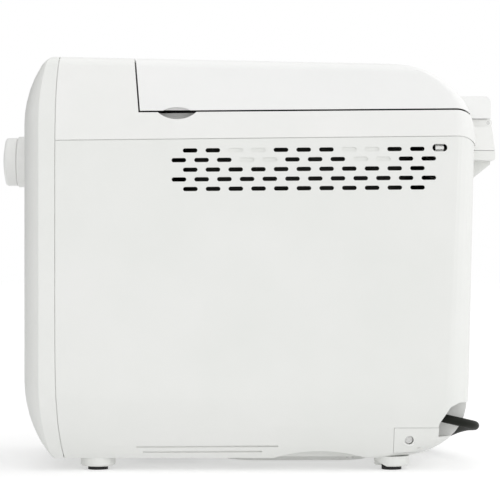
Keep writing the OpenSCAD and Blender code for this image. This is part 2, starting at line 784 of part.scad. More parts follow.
module power_board() color([0.1, 0.35, 0.2])
    translate([0, board_post_y, board_z]) {
        translate([-board_w / 2, -1.6, -board_h / 2]) cube([board_w, 1.6, board_h]);
        translate([-52, -0.1, -20]) cube([34, 28, 30]);
        translate([-8, -0.1, -26]) cube([19, 15, 16]);
        translate([20, -0.1, -26]) cube([19, 15, 16]);
        translate([-6, -0.1, 6]) rotate([-90, 0, 0]) cylinder(d = 12, h = 20);
        translate([10, -0.1, 6]) rotate([-90, 0, 0]) cylinder(d = 10, h = 16);
        for (i = [0 : 4]) translate([24 + i * 4, -0.1, 2]) cube([1.6, 18, 24]);
        translate([24, -0.1, 2]) cube([17.6, 3, 24]);
    }

encoder_d = 14;
module dial_encoder() color(steel)
    on_front(dial_z) translate([0, 0, -encoder_seat - encoder_d / 2]) difference() {
        union() {
            translate([-encoder_d / 2, -encoder_d / 2, 0]) cube([encoder_d, encoder_d, encoder_d / 2]);
            translate([-15, -18, -1.6]) cube([30, 36, 1.6]);
        }
        translate([0, 0, -3]) cylinder(d = dial_shaft_d + 2 * fit, h = 20);
    }

// ---- baking chamber ---------------------------------------------------------

module chamber_outline(grow = 0)
    rounded_rect(chamber_w + 2 * grow, chamber_l + 2 * grow, chamber_r + grow);
heater_z = chamber_z + heater_rise;
heater_w = chamber_w - 20;
heater_l = chamber_l - 26;
heater_r = 24;
heater_end_x = 14;
heater_bend = 9;
thermistor_at = [-chamber_w / 2, -24, 168];

module baking_chamber() color(steel)
    at_pan() difference() {
        union() {
            translate([0, 0, chamber_z - sheet])
                linear_extrude(flange_z - chamber_z + sheet) chamber_outline(sheet);
            translate([0, 0, flange_z - sheet]) linear_extrude(sheet) chamber_outline(9);
        }
        translate([0, 0, chamber_z]) linear_extrude(far) chamber_outline();
        translate([0, 0, chamber_z - 5]) cylinder(d = 40, h = 10);
        for (x = [-1, 1]) translate([x * heater_end_x, 0, heater_z]) rotate([90, 0, 0])
            cylinder(d = heater_d + 1.2, h = far);
        translate([thermistor_at[0] + 5, thermistor_at[1] - pan_y, thermistor_at[2]])
            rotate([0, -90, 0]) cylinder(d = 6.4, h = 20);
    }

seat_wall = 3.5;
pan_base_d = 84;
seat_d = pan_base_d + 1;        // bore that the pan's base stands in
seat_ledge_z = chamber_z + 9;
seat_top_z = chamber_z + 20;
module pan_seat() color(steel)
    at_pan() difference() {
        union() {
            translate([0, 0, chamber_z]) cylinder(d = seat_d + 24, h = 2);
            translate([0, 0, chamber_z]) cylinder(d = seat_d + 2 * seat_wall, h = seat_top_z - chamber_z);
        }
        translate([0, 0, seat_ledge_z]) cylinder(d = seat_d, h = 30);
        translate([0, 0, chamber_z - 1]) cylinder(d = 70, h = 30);
        for (a = [45 : 90 : 315])
            rotate(a) translate([seat_d / 2 + 7.5, 0, chamber_z - 1]) cylinder(d = 4.4, h = 6);
    }

module quarter_bend(r) rotate_extrude(angle = 90) translate([r, 0]) circle(d = heater_d);
module heater() color(coat)
    at_pan(heater_z) both_sides() {
        x = heater_w / 2;
        y = heater_l / 2;
        r = heater_r;
        translate([x, -y + r, 0]) rotate([-90, 0, 0]) cylinder(d = heater_d, h = 2 * (y - r));
        translate([x - r, y - r, 0]) quarter_bend(r);
        translate([x - r, -y + r, 0]) rotate(-90) quarter_bend(r);
        translate([0, y, 0]) rotate([0, 90, 0]) cylinder(d = heater_d, h = x - r);
        translate([heater_end_x + heater_bend, -y, 0])
            rotate([0, 90, 0]) cylinder(d = heater_d, h = x - r - heater_end_x - heater_bend);
        translate([heater_end_x + heater_bend, -y - heater_bend, 0]) rotate(90) quarter_bend(heater_bend);
        translate([heater_end_x, -y - heater_bend, 0]) rotate([90, 0, 0]) cylinder(d = heater_d, h = 8);
        translate([heater_end_x, -y - heater_bend - 8, 0]) rotate([90, 0, 0]) cylinder(d = 2.5, h = 10);
    }
bracket_w = 8;
module heater_brackets() color(steel)
    for (s = [-1, 1], y = [-45, 45])
        at_pan(heater_z) translate([s * heater_w / 2, y, 0]) rotate([-90, 0, 0]) difference() {
            union() {
                cylinder(r = heater_d / 2 + 1.2, h = bracket_w, center = true);
                translate([s > 0 ? 0 : -10, -heater_d / 2 - 1.2, -bracket_w / 2]) cube([10, 1.2, bracket_w]);
                translate([s > 0 ? 8.8 : -10, -heater_d / 2 - 1.2, -bracket_w / 2]) cube([1.2, 16, bracket_w]);
            }
            cylinder(d = heater_d, h = 2 * bracket_w, center = true);
        }

module thermistor() color(steel)
    translate(thermistor_at) rotate([0, 90, 0]) {
        translate([0, 0, -7]) cylinder(d = 6, h = 16);
        translate([0, 0, -sheet - 2]) cylinder(d = 12, h = 2);
    }

// ---- drive ------------------------------------------------------------------

chassis_z = 40;
chassis_t = 2;
chassis_top = chassis_z + chassis_t;
post_x = 62;
posts = [[-post_x, -60], [post_x, -60], [-post_x, 92], [post_x, 92]];
motor_y = -104;
bearing_d = 34;
bearing_top = chamber_z - 2;
bush_d = 14;
bush_h = 9;
shaft_low = 14;
motor_base = chassis_top;
motor_flange_t = 3;
motor_bolt = 29;
motor_shaft_d = 6;

module drive_chassis() color(steel)
    difference() {
        union() {
            translate([0, 0, chassis_z]) linear_extrude(chassis_t) difference() {
                translate([0, -18]) rounded_rect(144, 250, 12);
                for (x = [-46, 46]) translate([x, 2]) rounded_rect(30, 60, 8);
            }
            for (p = posts) {
                translate([p[0], p[1], rim_z + plate_t]) cylinder(d = 10, h = chassis_z - rim_z - plate_t);
                translate([p[0], p[1], chassis_top]) cylinder(d = 10, h = chamber_z - sheet - chassis_top);
            }
            at_pan(chassis_z) cylinder(d = bearing_d, h = bearing_top - chassis_z);
            for (a = [0 : 60 : 300]) at_pan(chassis_z) rotate(a)
                translate([bearing_d / 2 - 2, -1.2, 0]) cube([12, 2.4, 12]);
        }
        at_pan(chassis_z - 1) cylinder(d = bush_d, h = far / 8);
        translate([0, motor_y, chassis_z - 1]) cylinder(d = 18, h = 10);
        for (x = [-1, 1], y = [-1, 1]) translate([x * motor_bolt, motor_y + y * motor_bolt, chassis_z - 1])
            cylinder(d = 4, h = 10);
    }
module shaft_bushes() color([0.72, 0.5, 0.25])
    for (z = [chassis_z, bearing_top - bush_h])
        at_pan(z) pipe(bush_d / 2, shaft_d / 2 + run_fit, bush_h);

module motor() color(grey)
    translate([0, motor_y, motor_base]) difference() {
        union() {
            linear_extrude(motor_flange_t) rounded_rect(motor_d, motor_d, 8);
            translate([0, 0, motor_flange_t]) cylinder(d = motor_d - 18, h = 14);
            translate([0, 0, motor_flange_t + 14]) linear_extrude(28) rounded_rect(motor_d, motor_d, 5);
            translate([0, 0, motor_flange_t + 42]) cylinder(d = motor_d - 18, h = motor_h - motor_flange_t - 42);
        }
        translate([0, 0, -1]) cylinder(r = motor_shaft_d / 2 + run_fit, h = motor_h - 8);
        for (x = [-1, 1], y = [-1, 1]) translate([x * motor_bolt, y * motor_bolt, -1]) cylinder(d = 4, h = 6);
        for (a = [0 : 45 : 315]) rotate(a)
            translate([motor_d / 2 - 16, 0, motor_h - 6]) cylinder(d = 5, h = 10);
    }
module motor_screws() color(steel)
    for (x = [-1, 1], y = [-1, 1])
        translate([x * motor_bolt, motor_y + y * motor_bolt, motor_base + motor_flange_t + 2.4])
            rotate([180, 0, 0]) screw(7, 2.4, 3.6, 8);

pulley_z = 18;
pulley_h = 14;
belt_back = 1.2;                // thickness of the belt behind its ribs
belt_gap = 0.12;                // the belt lies this far off the pulleys' faces
belt_mid_z = pulley_z + pulley_h / 2;
ribs = [-1 : 1];
rib_steps = [[0.7, 0.62, 0.6], [1.4, 0.37, -0.4]];  // a rib's root and its tip: reach, half width, outer side
groove_depth = 1.6;
groove_half = [0.95, 0.35];     // half width of a groove at its mouth and its floor

module grooves(r)
    for (i = ribs) translate([0, 0, belt_mid_z + i * rib_pitch]) rotate_extrude($fn = 128)
        polygon([[r - groove_depth, -groove_half[1]], [r - groove_depth, groove_half[1]], [r, groove_half[0]],
                 [r + 1, groove_half[0]], [r + 1, -groove_half[0]], [r, -groove_half[0]]]);
module belt_loop(grow) hull() {
    translate([0, pan_y]) circle(pulley_d / 2 + grow, $fn = 72);
    translate([0, motor_y]) circle(pinion_d / 2 + grow, $fn = 72);
}
module belt_layer(half, outer, inner)
    translate([0, 0, -half]) linear_extrude(2 * half) difference() {
        belt_loop(belt_gap + outer);
        belt_loop(belt_gap - inner);
    }
module drive_belt() color(dark)
    translate([0, 0, belt_mid_z]) {
        belt_layer(belt_w / 2, belt_back, 0);
        for (i = ribs, step = rib_steps) translate([0, 0, i * rib_pitch]) belt_layer(step[1], step[2], step[0]);
    }

module drive_shaft() color(steel)
    at_pan(shaft_low) difference() {
        cylinder(d = shaft_d, h = coupler_z + coupler_t - shaft_low);
        translate([0, 0, 0.8]) pipe(shaft_d, shaft_d / 2 - 0.5, 0.9);
    }
module large_pulley() color(white)
    at_pan(pulley_z) difference() {
        union() {
            pipe(pulley_d / 2, pulley_d / 2 - 5, pulley_h);
            for (z = [0, pulley_h - 2]) translate([0, 0, z]) pipe(pulley_d / 2 + 3, pulley_d / 2 - 5, 2);
            translate([0, 0, pulley_h / 2 - 1.5]) pipe(pulley_d / 2 - 4, 10, 3);
            translate([0, 0, -2]) cylinder(d = 22, h = pulley_h + 4);
            for (a = [0 : 60 : 300])
                rotate(a) translate([9, -1.2, 1]) cube([pulley_d / 2 - 13, 2.4, pulley_h - 2]);
        }
        translate([0, 0, -5]) cylinder(d = shaft_d, h = 30);
        for (a = [30 : 60 : 330]) rotate(a) translate([pulley_d * 0.3, 0, -1]) cylinder(d = 15, h = 30);
        translate([0, 0, -pulley_z]) grooves(pulley_d / 2);
    }
coupler_z = chamber_z + 4;
coupler_t = 4;
dog_h = 8;
module drive_coupler() color(steel)
    at_pan(coupler_z) difference() {
        union() {
            cylinder(d = 34, h = coupler_t);
            for (s = [-1, 1]) rotate(s * 90 - 90) intersection() {
                pipe(16, 8, coupler_t + dog_h);
                translate([-9, -20, 0]) cube([18, 14.8, 20]);
            }
        }
        translate([0, 0, -1]) cylinder(d = shaft_d, h = coupler_t + 2);
    }

module motor_shaft() color(steel)
    translate([0, motor_y, shaft_low + 1])
        cylinder(d = motor_shaft_d, h = motor_base + motor_h - 12 - shaft_low);
module small_pulley() color(steel)
    translate([0, motor_y, pulley_z]) difference() {
        union() {
            cylinder(d = pinion_d, h = pulley_h + 4);
            for (z = [0, pulley_h - 2]) translate([0, 0, z]) cylinder(d = pinion_d + 6, h = 2);
        }
        translate([0, 0, -1]) cylinder(d = motor_shaft_d, h = 30);
        translate([0, 0, -pulley_z]) grooves(pinion_d / 2);
    }

// ---- lid --------------------------------------------------------------------

// Local frame on the lid's lower edge, y back from its front edge
module at_lid(z = 0)
    translate([0, lid_front_y, lid_seam_h]) rotate([lid_rise, 0, 0]) translate([0, 0, z]) children();

door_y = 15;
door_t = 2.2;
door_r = 2.4;                   // radius of the door's round rear edge
door_pin_d = 2.4;
door_axis_y = door_l / 2 - door_r;
door_ear = 6;
hopper_t = 1.6;
hopper_floor_z = 288;
steam_x = [-30 : 12 : 30];
steam_y = 118;
liner_z = 3.2;
liner_t = 1.4;
bulge_z = -3;
bulge_inset = 2.5;
upper_block_z = hinge_z + knuckle_r + 0.1;
upper_block_y = 160;
upper_block_back = 1.8;         // the block stands this far behind the hinge pin's axis
upper_block_r = 5;

// Block above the hinge, with a round upper edge
module upper_block_2d()
    translate([upper_block_y, upper_block_z]) {
        depth = hinge_y + upper_block_back - upper_block_y;
        square([depth, upper_block_h - upper_block_r]);
        square([depth - upper_block_r, upper_block_h]);
        translate([depth - upper_block_r, upper_block_h - upper_block_r]) circle(upper_block_r);
    }

module lid_cover() color(white)
    difference() {
        union() {
            difference() {
                union() {
                    intersection() {
                        top_form();
                        lid_region();
                        across() translate([-far, 0]) square([rear_reach + 6 + far, far]);
                    }
                    across(-hinge_w / 2, hinge_w / 2) intersection() {
                        upper_block_2d();
                        lid_region_2d();
                    }
                }
                difference() {
                    intersection() {
                        top_form(wall);
                        lid_region(1, wall + 1);
                    }
                    // Ears that carry the door's pins
                    on_top(door_y) for (s = [-1, 1])
                        translate([s * (door_w / 2 + 3) - 3, door_axis_y - 5, -9]) cube([6, 10, 9]);
                }
            }
            knuckles(lid_knuckles, hinge_z, upper_block_z + 0.5, upper_block_back);
        }
        across(-far, far) translate([hinge_y, hinge_z]) circle(pin_d / 2 + run_fit);
        // Opening for the dispenser's door, a finger notch in front of it, and the steam slots
        on_top(door_y) {
            translate([0, 0, -8]) linear_extrude(20) square([door_w + 0.8, door_l + 0.8], center = true);
            translate([0, -door_l / 2 - 1, -1.4]) cylinder(d = 22, h = 10);
            translate([0, door_axis_y, -door_r]) rotate([0, 90, 0])
                cylinder(r = door_pin_d / 2 + run_fit, h = door_w + 2 * door_ear - 4, center = true);
        }
        on_top(steam_y) for (x = steam_x) translate([x, 0, -6]) linear_extrude(12) rotate(90) stadium(16, 3.4);
        // The lower edge is raised over the finger grips
        both_sides() across(half_w - 8, far)
            translate([grip_y, lid_seam_h + 2.8 - grip_r]) circle(grip_r);
    }

module lid_liner() color(coat)
    at_lid() difference() {
        union() {
            translate([0, -lid_front_y, liner_z]) linear_extrude(liner_t)
                polygon(rear_outline(lid_seam_h + 10, wall + 1, lid_front_y + wall + 2));
            translate([0, pan_y - lid_front_y, bulge_z]) linear_extrude(liner_z - bulge_z)
                chamber_outline(-bulge_inset);
        }
        translate([0, pan_y - lid_front_y, bulge_z + liner_t]) linear_extrude(20)
            chamber_outline(-bulge_inset - liner_t);
        translate([0, door_y - lid_front_y, bulge_z - 1]) linear_extrude(20)
            square([hopper_w + 2 * hopper_t + 2, hopper_l + 2 * hopper_t + 20], center = true);
        translate([0, steam_y - lid_front_y, bulge_z - 1]) for (x = steam_x)
            translate([x, 0, 0]) linear_extrude(20) rotate(90) stadium(14, 3.4);
    }

module lid_gasket() color(grey)
    at_lid(-lid_gap + fit) translate([0, pan_y - lid_front_y, 0])
        linear_extrude(liner_z + lid_gap - fit) difference() {
            chamber_outline(10);
            chamber_outline(5.5);
        }

module dispenser_hopper() color(white)
    difference() {
        union() {
            on_top(door_y) translate([0, 0, -wall - hopper_t]) linear_extrude(hopper_t) difference() {
                square([door_w + 20, door_l + 12], center = true);
                translate([0, door_axis_y]) square([door_w + 2, 2 * door_r + 1.4], center = true);
                for (s = [-1, 1]) translate([s * (door_w / 2 + 3), door_axis_y]) square([8, 12], center = true);
            }
            difference() {
                translate([0, door_y, hopper_floor_z]) linear_extrude(33)
                    square([hopper_w + 2 * hopper_t, hopper_l + 2 * hopper_t], center = true);
                on_top(0) translate([-far, -far, -wall - 0.5]) cube(2 * far);
            }
            // Lugs that carry the flap's pins
            for (s = [-1, 1])
                translate([s * (hopper_w / 2 + hopper_t - 2) - 2, flap_y - 9, flap_z - 3]) cube([4, 13, 8]);
        }
        translate([0, door_y, 0]) linear_extrude(far) square([hopper_w, hopper_l], center = true);
        across() translate([flap_y, flap_z]) circle(door_pin_d / 2 + run_fit);
    }
flap_y = door_y + hopper_l / 2 + 5.5;
flap_z = hopper_floor_z - 1.4;
flap_t = 1.6;

module dispenser_flap() color(steel) {
    translate([-hopper_w / 2 + 3, door_y - hopper_l / 2 - hopper_t, flap_z - 0.6])
        cube([hopper_w - 6, hopper_l + hopper_t + 5.5, flap_t]);
    across(-hopper_w / 2 + 3, hopper_w / 2 - 3) translate([flap_y, flap_z]) circle(2);
    across(-hopper_w / 2 - 1.5, hopper_w / 2 + 1.5) translate([flap_y, flap_z]) circle(d = door_pin_d);
}

module flap_solenoid() color(steel)
    translate([-14, door_y + hopper_l / 2 + hopper_t, 298]) {
        cube([28, 16, 18]);
        translate([14, 8, -6]) cylinder(d = 5, h = 7);
        translate([-5, 0, 8]) cube([38, 1.2, 6]);
    }

module dispenser_door() color(white)
    on_top(door_y) difference() {
        union() {
            translate([-door_w / 2, -door_l / 2, -door_t]) cube([door_w, door_l - door_r, door_t]);
            translate([0, door_axis_y, -door_r])
                rotate([0, 90, 0]) cylinder(r = door_r, h = door_w, center = true);
            translate([0, door_axis_y, -door_r]) rotate([0, 90, 0])
                cylinder(d = door_pin_d, h = door_w + 7, center = true);
        }
        translate([0, 0, -door_t - 1]) linear_extrude(1.8) square([door_w - 20, door_l - 24], center = true);
    }

module hinge_pin() color(steel)
    across(-hinge_w / 2 + end_inset + 0.5, hinge_w / 2 - end_inset - 0.5)
        translate([hinge_y, hinge_z]) circle(d = pin_d);

// ---- controls ---------------------------------------------------------------

dial_gap = fit;
dome = 2;
module dial_knob() color(white)
    on_front(dial_z) difference() {
        translate([0, 0, collar_l + dial_gap]) rotate_extrude($fn = 96)
            polygon(concat(
                [[0, spigot_l], [spigot_r + fit, spigot_l], [spigot_r + fit, 0],
                 [dial_d / 2 - 0.4, 0], [dial_d / 2, 0.4]],
                [for (a = [0 : 15 : 75]) [dial_d / 2 - 2.5 + 2.5 * cos(a), dial_l - dome - 2.5 + 2.5 * sin(a)]],
                [for (i = [4 : -1 : 0]) let (u = i / 5 * (dial_d / 2 - 2.5)) [u, dial_l - dome * pow(i / 5, 2)]]));
        translate([0, 0, collar_l]) cylinder(d = dial_shaft_d, h = dial_l - 3);
        // Pointer groove
        translate([-0.7, dial_d / 2 - 9, collar_l + dial_gap + dial_l - dome - 0.6]) cube([1.4, 6, 5]);
    }
module dial_shaft() color(steel)
    on_front(dial_z) translate([0, 0, -encoder_seat - 8])
        cylinder(d = dial_shaft_d, h = encoder_seat + 8 + collar_l + dial_l - 4);

module button(i) color(white)
    on_top(panel_y) translate([button_x[i], 0, 0]) {
        translate([0, 0, -wall - 1.2]) linear_extrude(wall + 1.2 + 1.3) stadium(button_l, button_w);
        translate([0, 0, -wall - 1.2]) linear_extrude(1) stadium(button_l + 3, button_w + 3);
        translate([0, 0, -board_drop + 1.6 + switch_top - 1.6 + button_travel + 0.15])
            cylinder(d = 4, h = board_drop - switch_top - wall - button_travel - 0.3);
    }

// ---- bread pan --------------------------------------------------------------

pan_floor_z = chamber_z + 26;
pan_top_z = pan_floor_z + pan_h;
pan_rim = 3;
ear_z = pan_top_z - 8;
ear_x = pan_w / 2 + pan_rim;
module pan_outline(grow = 0) rounded_rect(pan_w + 2 * grow, pan_l + 2 * grow, pan_r + grow);
module bread_pan() color(coat)
    at_pan() difference() {
        union() {
            translate([0, 0, pan_floor_z]) linear_extrude(pan_h) pan_outline();
            translate([0, 0, pan_top_z - 4]) linear_extrude(4) pan_outline(pan_rim);
            for (s = [-1, 1]) translate([s * (pan_w / 2 - 1), 0, ear_z]) rotate([0, s * 90, 0])
                cylinder(d = 14, h = pan_rim + 3);
        }
        translate([0, 0, pan_floor_z + pan_t]) linear_extrude(far) pan_outline(-pan_t);
        translate([0, 0, pan_floor_z - 1]) cylinder(d = pan_bush_d, h = 10);
        for (s = [-1, 1]) translate([s * (pan_w / 2 - 0.3), 0, ear_z]) rotate([0, s * 90, 0])
            cylinder(r = handle_d / 2 + run_fit, h = 20);
    }

pan_bush_d = 14;
module pan_base() color(steel)
    at_pan() difference() {
        union() {
            translate([0, 0, pan_floor_z - 3]) cylinder(d = pan_base_d, h = 3);
            translate([0, 0, seat_ledge_z]) cylinder(d = pan_base_d, h = pan_floor_z - seat_ledge_z);
        }
        translate([0, 0, seat_ledge_z - 1]) pipe(pan_base_d / 2 - 4, 10, pan_floor_z - seat_ledge_z - 2);
        translate([0, 0, seat_ledge_z - 1]) cylinder(d = 34, h = 9);
        translate([0, 0, seat_ledge_z - 1]) cylinder(d = pan_bush_d, h = 40);
        for (a = [0 : 45 : 315]) rotate(a) translate([27, 0, pan_floor_z - 4]) cylinder(d = 8, h = 8);
    }
pan_bush_low = pan_floor_z - 9;
module pan_bush() color([0.72, 0.5, 0.25])
    at_pan(pan_bush_low) pipe(pan_bush_d / 2, shaft_d / 2 + run_fit, 13);

pan_shaft_low = coupler_z + coupler_t + 1;
pan_shaft_top = pan_floor_z + 26;
module pan_shaft() color(steel)
    at_pan(pan_shaft_low) difference() {
        cylinder(d = shaft_d, h = pan_shaft_top - pan_shaft_low);
        // Flat that drives the blade
        translate([shaft_d / 2 - 1, -10, pan_floor_z + 6 - pan_shaft_low]) cube([10, 20, 40]);
    }
module pan_coupler() color(steel)
    at_pan(pan_shaft_low + 1) difference() {
        union() {
            translate([-15, -4, 0]) cube([30, 8, 5]);
            cylinder(d = 14, h = 5);
        }
        translate([0, 0, -1]) cylinder(d = shaft_d, h = 10);
    }

blade_z = pan_floor_z + 6;
blade_h = 26;
blade_reach = 46;
module kneading_blade() color(coat)
    at_pan(blade_z) difference() {
        union() {
            cylinder(d = 16, h = blade_h);
            // Fin with a swept upper edge, and a low counter fin
            rotate([90, 0, 0]) translate([0, 0, -2.5]) linear_extrude(5) polygon(concat(
                [[0, 0], [blade_reach - 6, 0], [blade_reach, 6]],
                [for (i = [0 : 8]) [blade_reach - i * (blade_reach - 6) / 8, 12 + 12 * sin(i * 90 / 8)]], [[0, 24]]));
            rotate([90, 0, 180]) translate([0, 0, -2.5]) linear_extrude(5)
                polygon([[0, 0], [13, 0], [15, 4], [7.9, 16], [0, 16]]);
        }
        difference() {
            translate([0, 0, -1]) cylinder(r = shaft_d / 2 + run_fit, h = blade_h - 2);
            translate([shaft_d / 2 - 1 + run_fit, -10, -2]) cube([10, 20, 60]);
        }
    }

// Folded down on the pan's rim; a wire bent round two corners, with a grip in the middle
handle_fold = 11;
handle_x = ear_x + 6;
handle_bend = 14;
module pan_handle() color(steel)
    translate([0, pan_y, ear_z]) rotate([handle_fold, 0, 0]) both_sides() {
        translate([pan_w / 2 + 0.6, 0, 0])
            rotate([0, 90, 0]) cylinder(d = handle_d, h = handle_x - handle_d - pan_w / 2 - 0.6);
        translate([handle_x - handle_d, handle_d, 0]) rotate(-90) bend(handle_d);
        translate([handle_x, handle_d, 0])
            rotate([-90, 0, 0]) cylinder(d = handle_d, h = handle_reach - handle_d - handle_bend);
        translate([handle_x - handle_bend, handle_reach - handle_bend, 0]) bend(handle_bend);
        translate([0, handle_reach, 0]) rotate([0, 90, 0]) cylinder(d = handle_d, h = handle_x - handle_bend);
    }
module bend(r) rotate_extrude(angle = 90) translate([r, 0]) circle(d = handle_d);

// ---- mains cord -------------------------------------------------------------

cord_r = cord_d / 2;
cord_x = pocket[0] + 14;
gland_z = pocket[2] + 20.2;
gland_neck_d = 11;
gland_tilt = 14;
gland_l = 14.4;
cord_lay = cord_r + 0.1;
coil_at = [-175, 108];
coil_turn = coil_r + cord_r;
coil_low = 0.1;
// The route along which the cord runs to its coil
route = [[104, 152, 44.2], [104, 157, 42.9], [103, 164.8, 41], [100, 172, 39.2], [95.2, 178.2, 37.5], [89, 183, 36],
         [81.8, 186, 34.8], [74, 187, 33.8], [60, 187.4, 32.4], [44, 187, 31], [28, 186, 29.4], [12, 184.2, 27.4],
         [-4, 181.4, 24.8], [-20, 177.8, 21.4], [-36, 173.4, 17.4], [-52, 168.4, 13.2], [-68, 163.2, 9.2],
         [-84, 158.6, 6.2], [-100, 155, 4.4], [-118, 152.6, 3.7], [-138, 151.6, 3.6], [-154, 151.5, 3.6],
         [-166, 151.5, 3.6]];
sides = 10;
function unit(v) = v / norm(v);
function heading(i) = unit(route[min(i + 1, len(route) - 1)] - route[max(i - 1, 0)]);
function across_of(i) = unit(cross(heading(i), [0, 0, 1]));
function ring(i) =
    let (u = across_of(i), v = cross(u, heading(i)))
    [for (k = [0 : sides - 1]) route[i] + cord_r * (cos(k * 360 / sides) * u + sin(k * 360 / sides) * v)];
module power_cord() color(dark) {
    n = len(route);
    polyhedron(
        points = [for (i = [0 : n - 1]) each ring(i)],
        faces = concat(
            [[for (k = [0 : sides - 1]) k]],
            [for (i = [0 : n - 2], k = [0 : sides - 1])
                let (a = i * sides + k, b = i * sides + (k + 1) % sides) [a, a + sides, b + sides, b]],
            [[for (k = [sides - 1 : -1 : 0]) (n - 1) * sides + k]]));
}
module cord_coil() color(dark)
    translate([coil_at[0], coil_at[1], coil_low]) rotate_extrude($fn = 96) difference() {
        translate([coil_r - cord_d, 0]) square([2 * cord_d, 2 * cord_d + 0.2]);
        for (x = [0, 1], z = [0, 1]) translate([coil_r - cord_d + x * 2 * cord_d, z * (2 * cord_d + 0.2)])
            rotate(45) square(2, center = true);
    }

// Tapered sleeve of soft plastic, held in the pocket's wall
module strain_relief() color(dark)
    difference() {
        union() {
            translate([cord_x, pocket[1] - wall - 2.5, gland_z]) rotate([-90, 0, 0]) cylinder(d = 15, h = 2.5);
            translate([cord_x, pocket[1] - wall - 0.5, gland_z]) rotate([-90, 0, 0])
                cylinder(d = gland_neck_d, h = wall + 1);
            translate([cord_x, pocket[1] + 0.1, gland_z]) rotate([-90, 0, 0]) cylinder(d = 14, h = 2);
            translate([cord_x, pocket[1] + 0.5, gland_z - 0.1]) rotate([-90 - gland_tilt, 0, 0])
                cylinder(d1 = 11.4, d2 = cord_d + 2, h = gland_l - 0.1);
        }
        translate([cord_x, pocket[1] - 20, gland_z]) rotate([-90, 0, 0]) cylinder(d = 4, h = 18);
    }

plug_at = [coil_at[0] - coil_turn, 0, coil_low + cord_r + cord_d + 0.2];
plug_front = 42;
module mains_plug() color(dark)
    translate([plug_at[0], 0, plug_at[2]]) rotate([90, 0, 0]) {
        translate([0, 0, -95]) cylinder(d1 = cord_d + 1.4, d2 = 12, h = 28);
        translate([0, 0, -68]) linear_extrude(68 - plug_front) difference() {
            rounded_rect(24, 20, 7);
            for (s = [-1, 1]) translate([s * 15.4, 0]) circle(5);
        }
        for (s = [-1, 1]) translate([s * 6.35 - 0.75, -6.2, -plug_front - 1]) cube([1.5, 6.4, 18.5]);
        translate([0, 5.2, -plug_front - 1]) cylinder(d = 4.8, h = 21);
    }

front_cover();
body_shell();
upper_frame();
base_plate();
foot_pads();
cord_cover();
base_screws();
cord_cover_screw();
dial_collar();
control_panel();
display_glass();
control_board();
power_board();
dial_encoder();
baking_chamber();
pan_seat();
heater();
heater_brackets();
thermistor();
drive_chassis();
shaft_bushes();
motor();
motor_screws();
drive_belt();
hinge_pin();
strain_relief();
power_cord();
cord_coil();
mains_plug();
lid_cover();
lid_liner();
lid_gasket();
dispenser_hopper();
flap_solenoid();
dispenser_door();
dispenser_flap();
dial_knob();
dial_shaft();
button(0);  // button_menu
button(1);  // button_loaf
button(2);  // button_crust
button(3);  // button_timer
button(4);  // button_start
button(5);  // button_stop
drive_shaft();
large_pulley();
drive_coupler();
motor_shaft();
small_pulley();
bread_pan();
pan_base();
pan_bush();
pan_handle();
pan_shaft();
pan_coupler();
kneading_blade();
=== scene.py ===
"""Bread machine: looks, cord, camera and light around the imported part."""

import math

import bmesh
import bpy
import numpy as np
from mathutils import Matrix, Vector
from mathutils.bvhtree import BVHTree


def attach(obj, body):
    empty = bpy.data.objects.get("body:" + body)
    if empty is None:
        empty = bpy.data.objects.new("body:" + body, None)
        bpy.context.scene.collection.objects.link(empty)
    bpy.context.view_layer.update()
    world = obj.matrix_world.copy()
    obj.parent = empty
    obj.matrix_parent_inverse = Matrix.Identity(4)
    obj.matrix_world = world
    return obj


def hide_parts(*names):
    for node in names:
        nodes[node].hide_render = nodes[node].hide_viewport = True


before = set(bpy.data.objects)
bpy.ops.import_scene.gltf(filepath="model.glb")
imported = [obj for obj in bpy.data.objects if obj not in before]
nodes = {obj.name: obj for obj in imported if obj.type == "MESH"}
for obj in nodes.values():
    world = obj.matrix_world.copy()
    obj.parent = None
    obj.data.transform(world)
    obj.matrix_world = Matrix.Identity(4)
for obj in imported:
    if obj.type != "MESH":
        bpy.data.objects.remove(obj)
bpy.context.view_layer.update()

scene = bpy.context.scene

MM = 0.001


# ---- camera -----------------------------------------------------------------

FRAME_PX = 500
FOCAL_PX = 2133
SENSOR_MM = 36.0
CAMERA_AT = (1.800, 0.0052, 0.180)
HORIZON_ABOVE_MIDDLE_PX = 5


def make_camera():
    """Level camera on the right side, looking along -X."""
    data = bpy.data.cameras.new("side_camera")
    data.sensor_fit = "HORIZONTAL"
    data.sensor_width = SENSOR_MM
    data.lens = SENSOR_MM * FOCAL_PX / FRAME_PX
    data.shift_y = -HORIZON_ABOVE_MIDDLE_PX / FRAME_PX
    data.clip_start = 0.05
    data.clip_end = 50.0
    camera = bpy.data.objects.new("side_camera", data)
    camera.location = CAMERA_AT
    camera.rotation_euler = (math.pi / 2, 0.0, math.pi / 2)
    scene.collection.objects.link(camera)
    scene.camera = camera


make_camera()


# ---- mains cord -------------------------------------------------------------

CORD_D = 7
ROUTE = [
    (104, 152, 44.2), (104, 157, 42.9), (103, 164.8, 41), (100, 172, 39.2), (95.2, 178.2, 37.5),
    (89, 183, 36), (81.8, 186, 34.8), (74, 187, 33.8), (60, 187.4, 32.4), (44, 187, 31),
    (28, 186, 29.4), (12, 184.2, 27.4), (-4, 181.4, 24.8), (-20, 177.8, 21.4), (-36, 173.4, 17.4),
    (-52, 168.4, 13.2), (-68, 163.2, 9.2), (-84, 158.6, 6.2), (-100, 155, 4.4), (-118, 152.6, 3.7),
    (-138, 151.6, 3.6), (-154, 151.5, 3.6), (-164, 151.5, 3.6),
]
COIL_AT = (-175, 108)
COIL_LAYERS = [(43.5, 3.6), (36.5, 3.6), (36.5, 10.7), (43.5, 10.7)]  # radius and height of each turn
COIL_TURNS = 3.25
POINTS_PER_TURN = 24
STEP_SPAN = 0.2
STEP_LEAD = (0.0, 0.06, 0.12, 0.0)
STEP_BULGE = 1.5
LEAD_OUT = [(-218.5, 102, 10.7), (-218.5, 94, 10.7)]
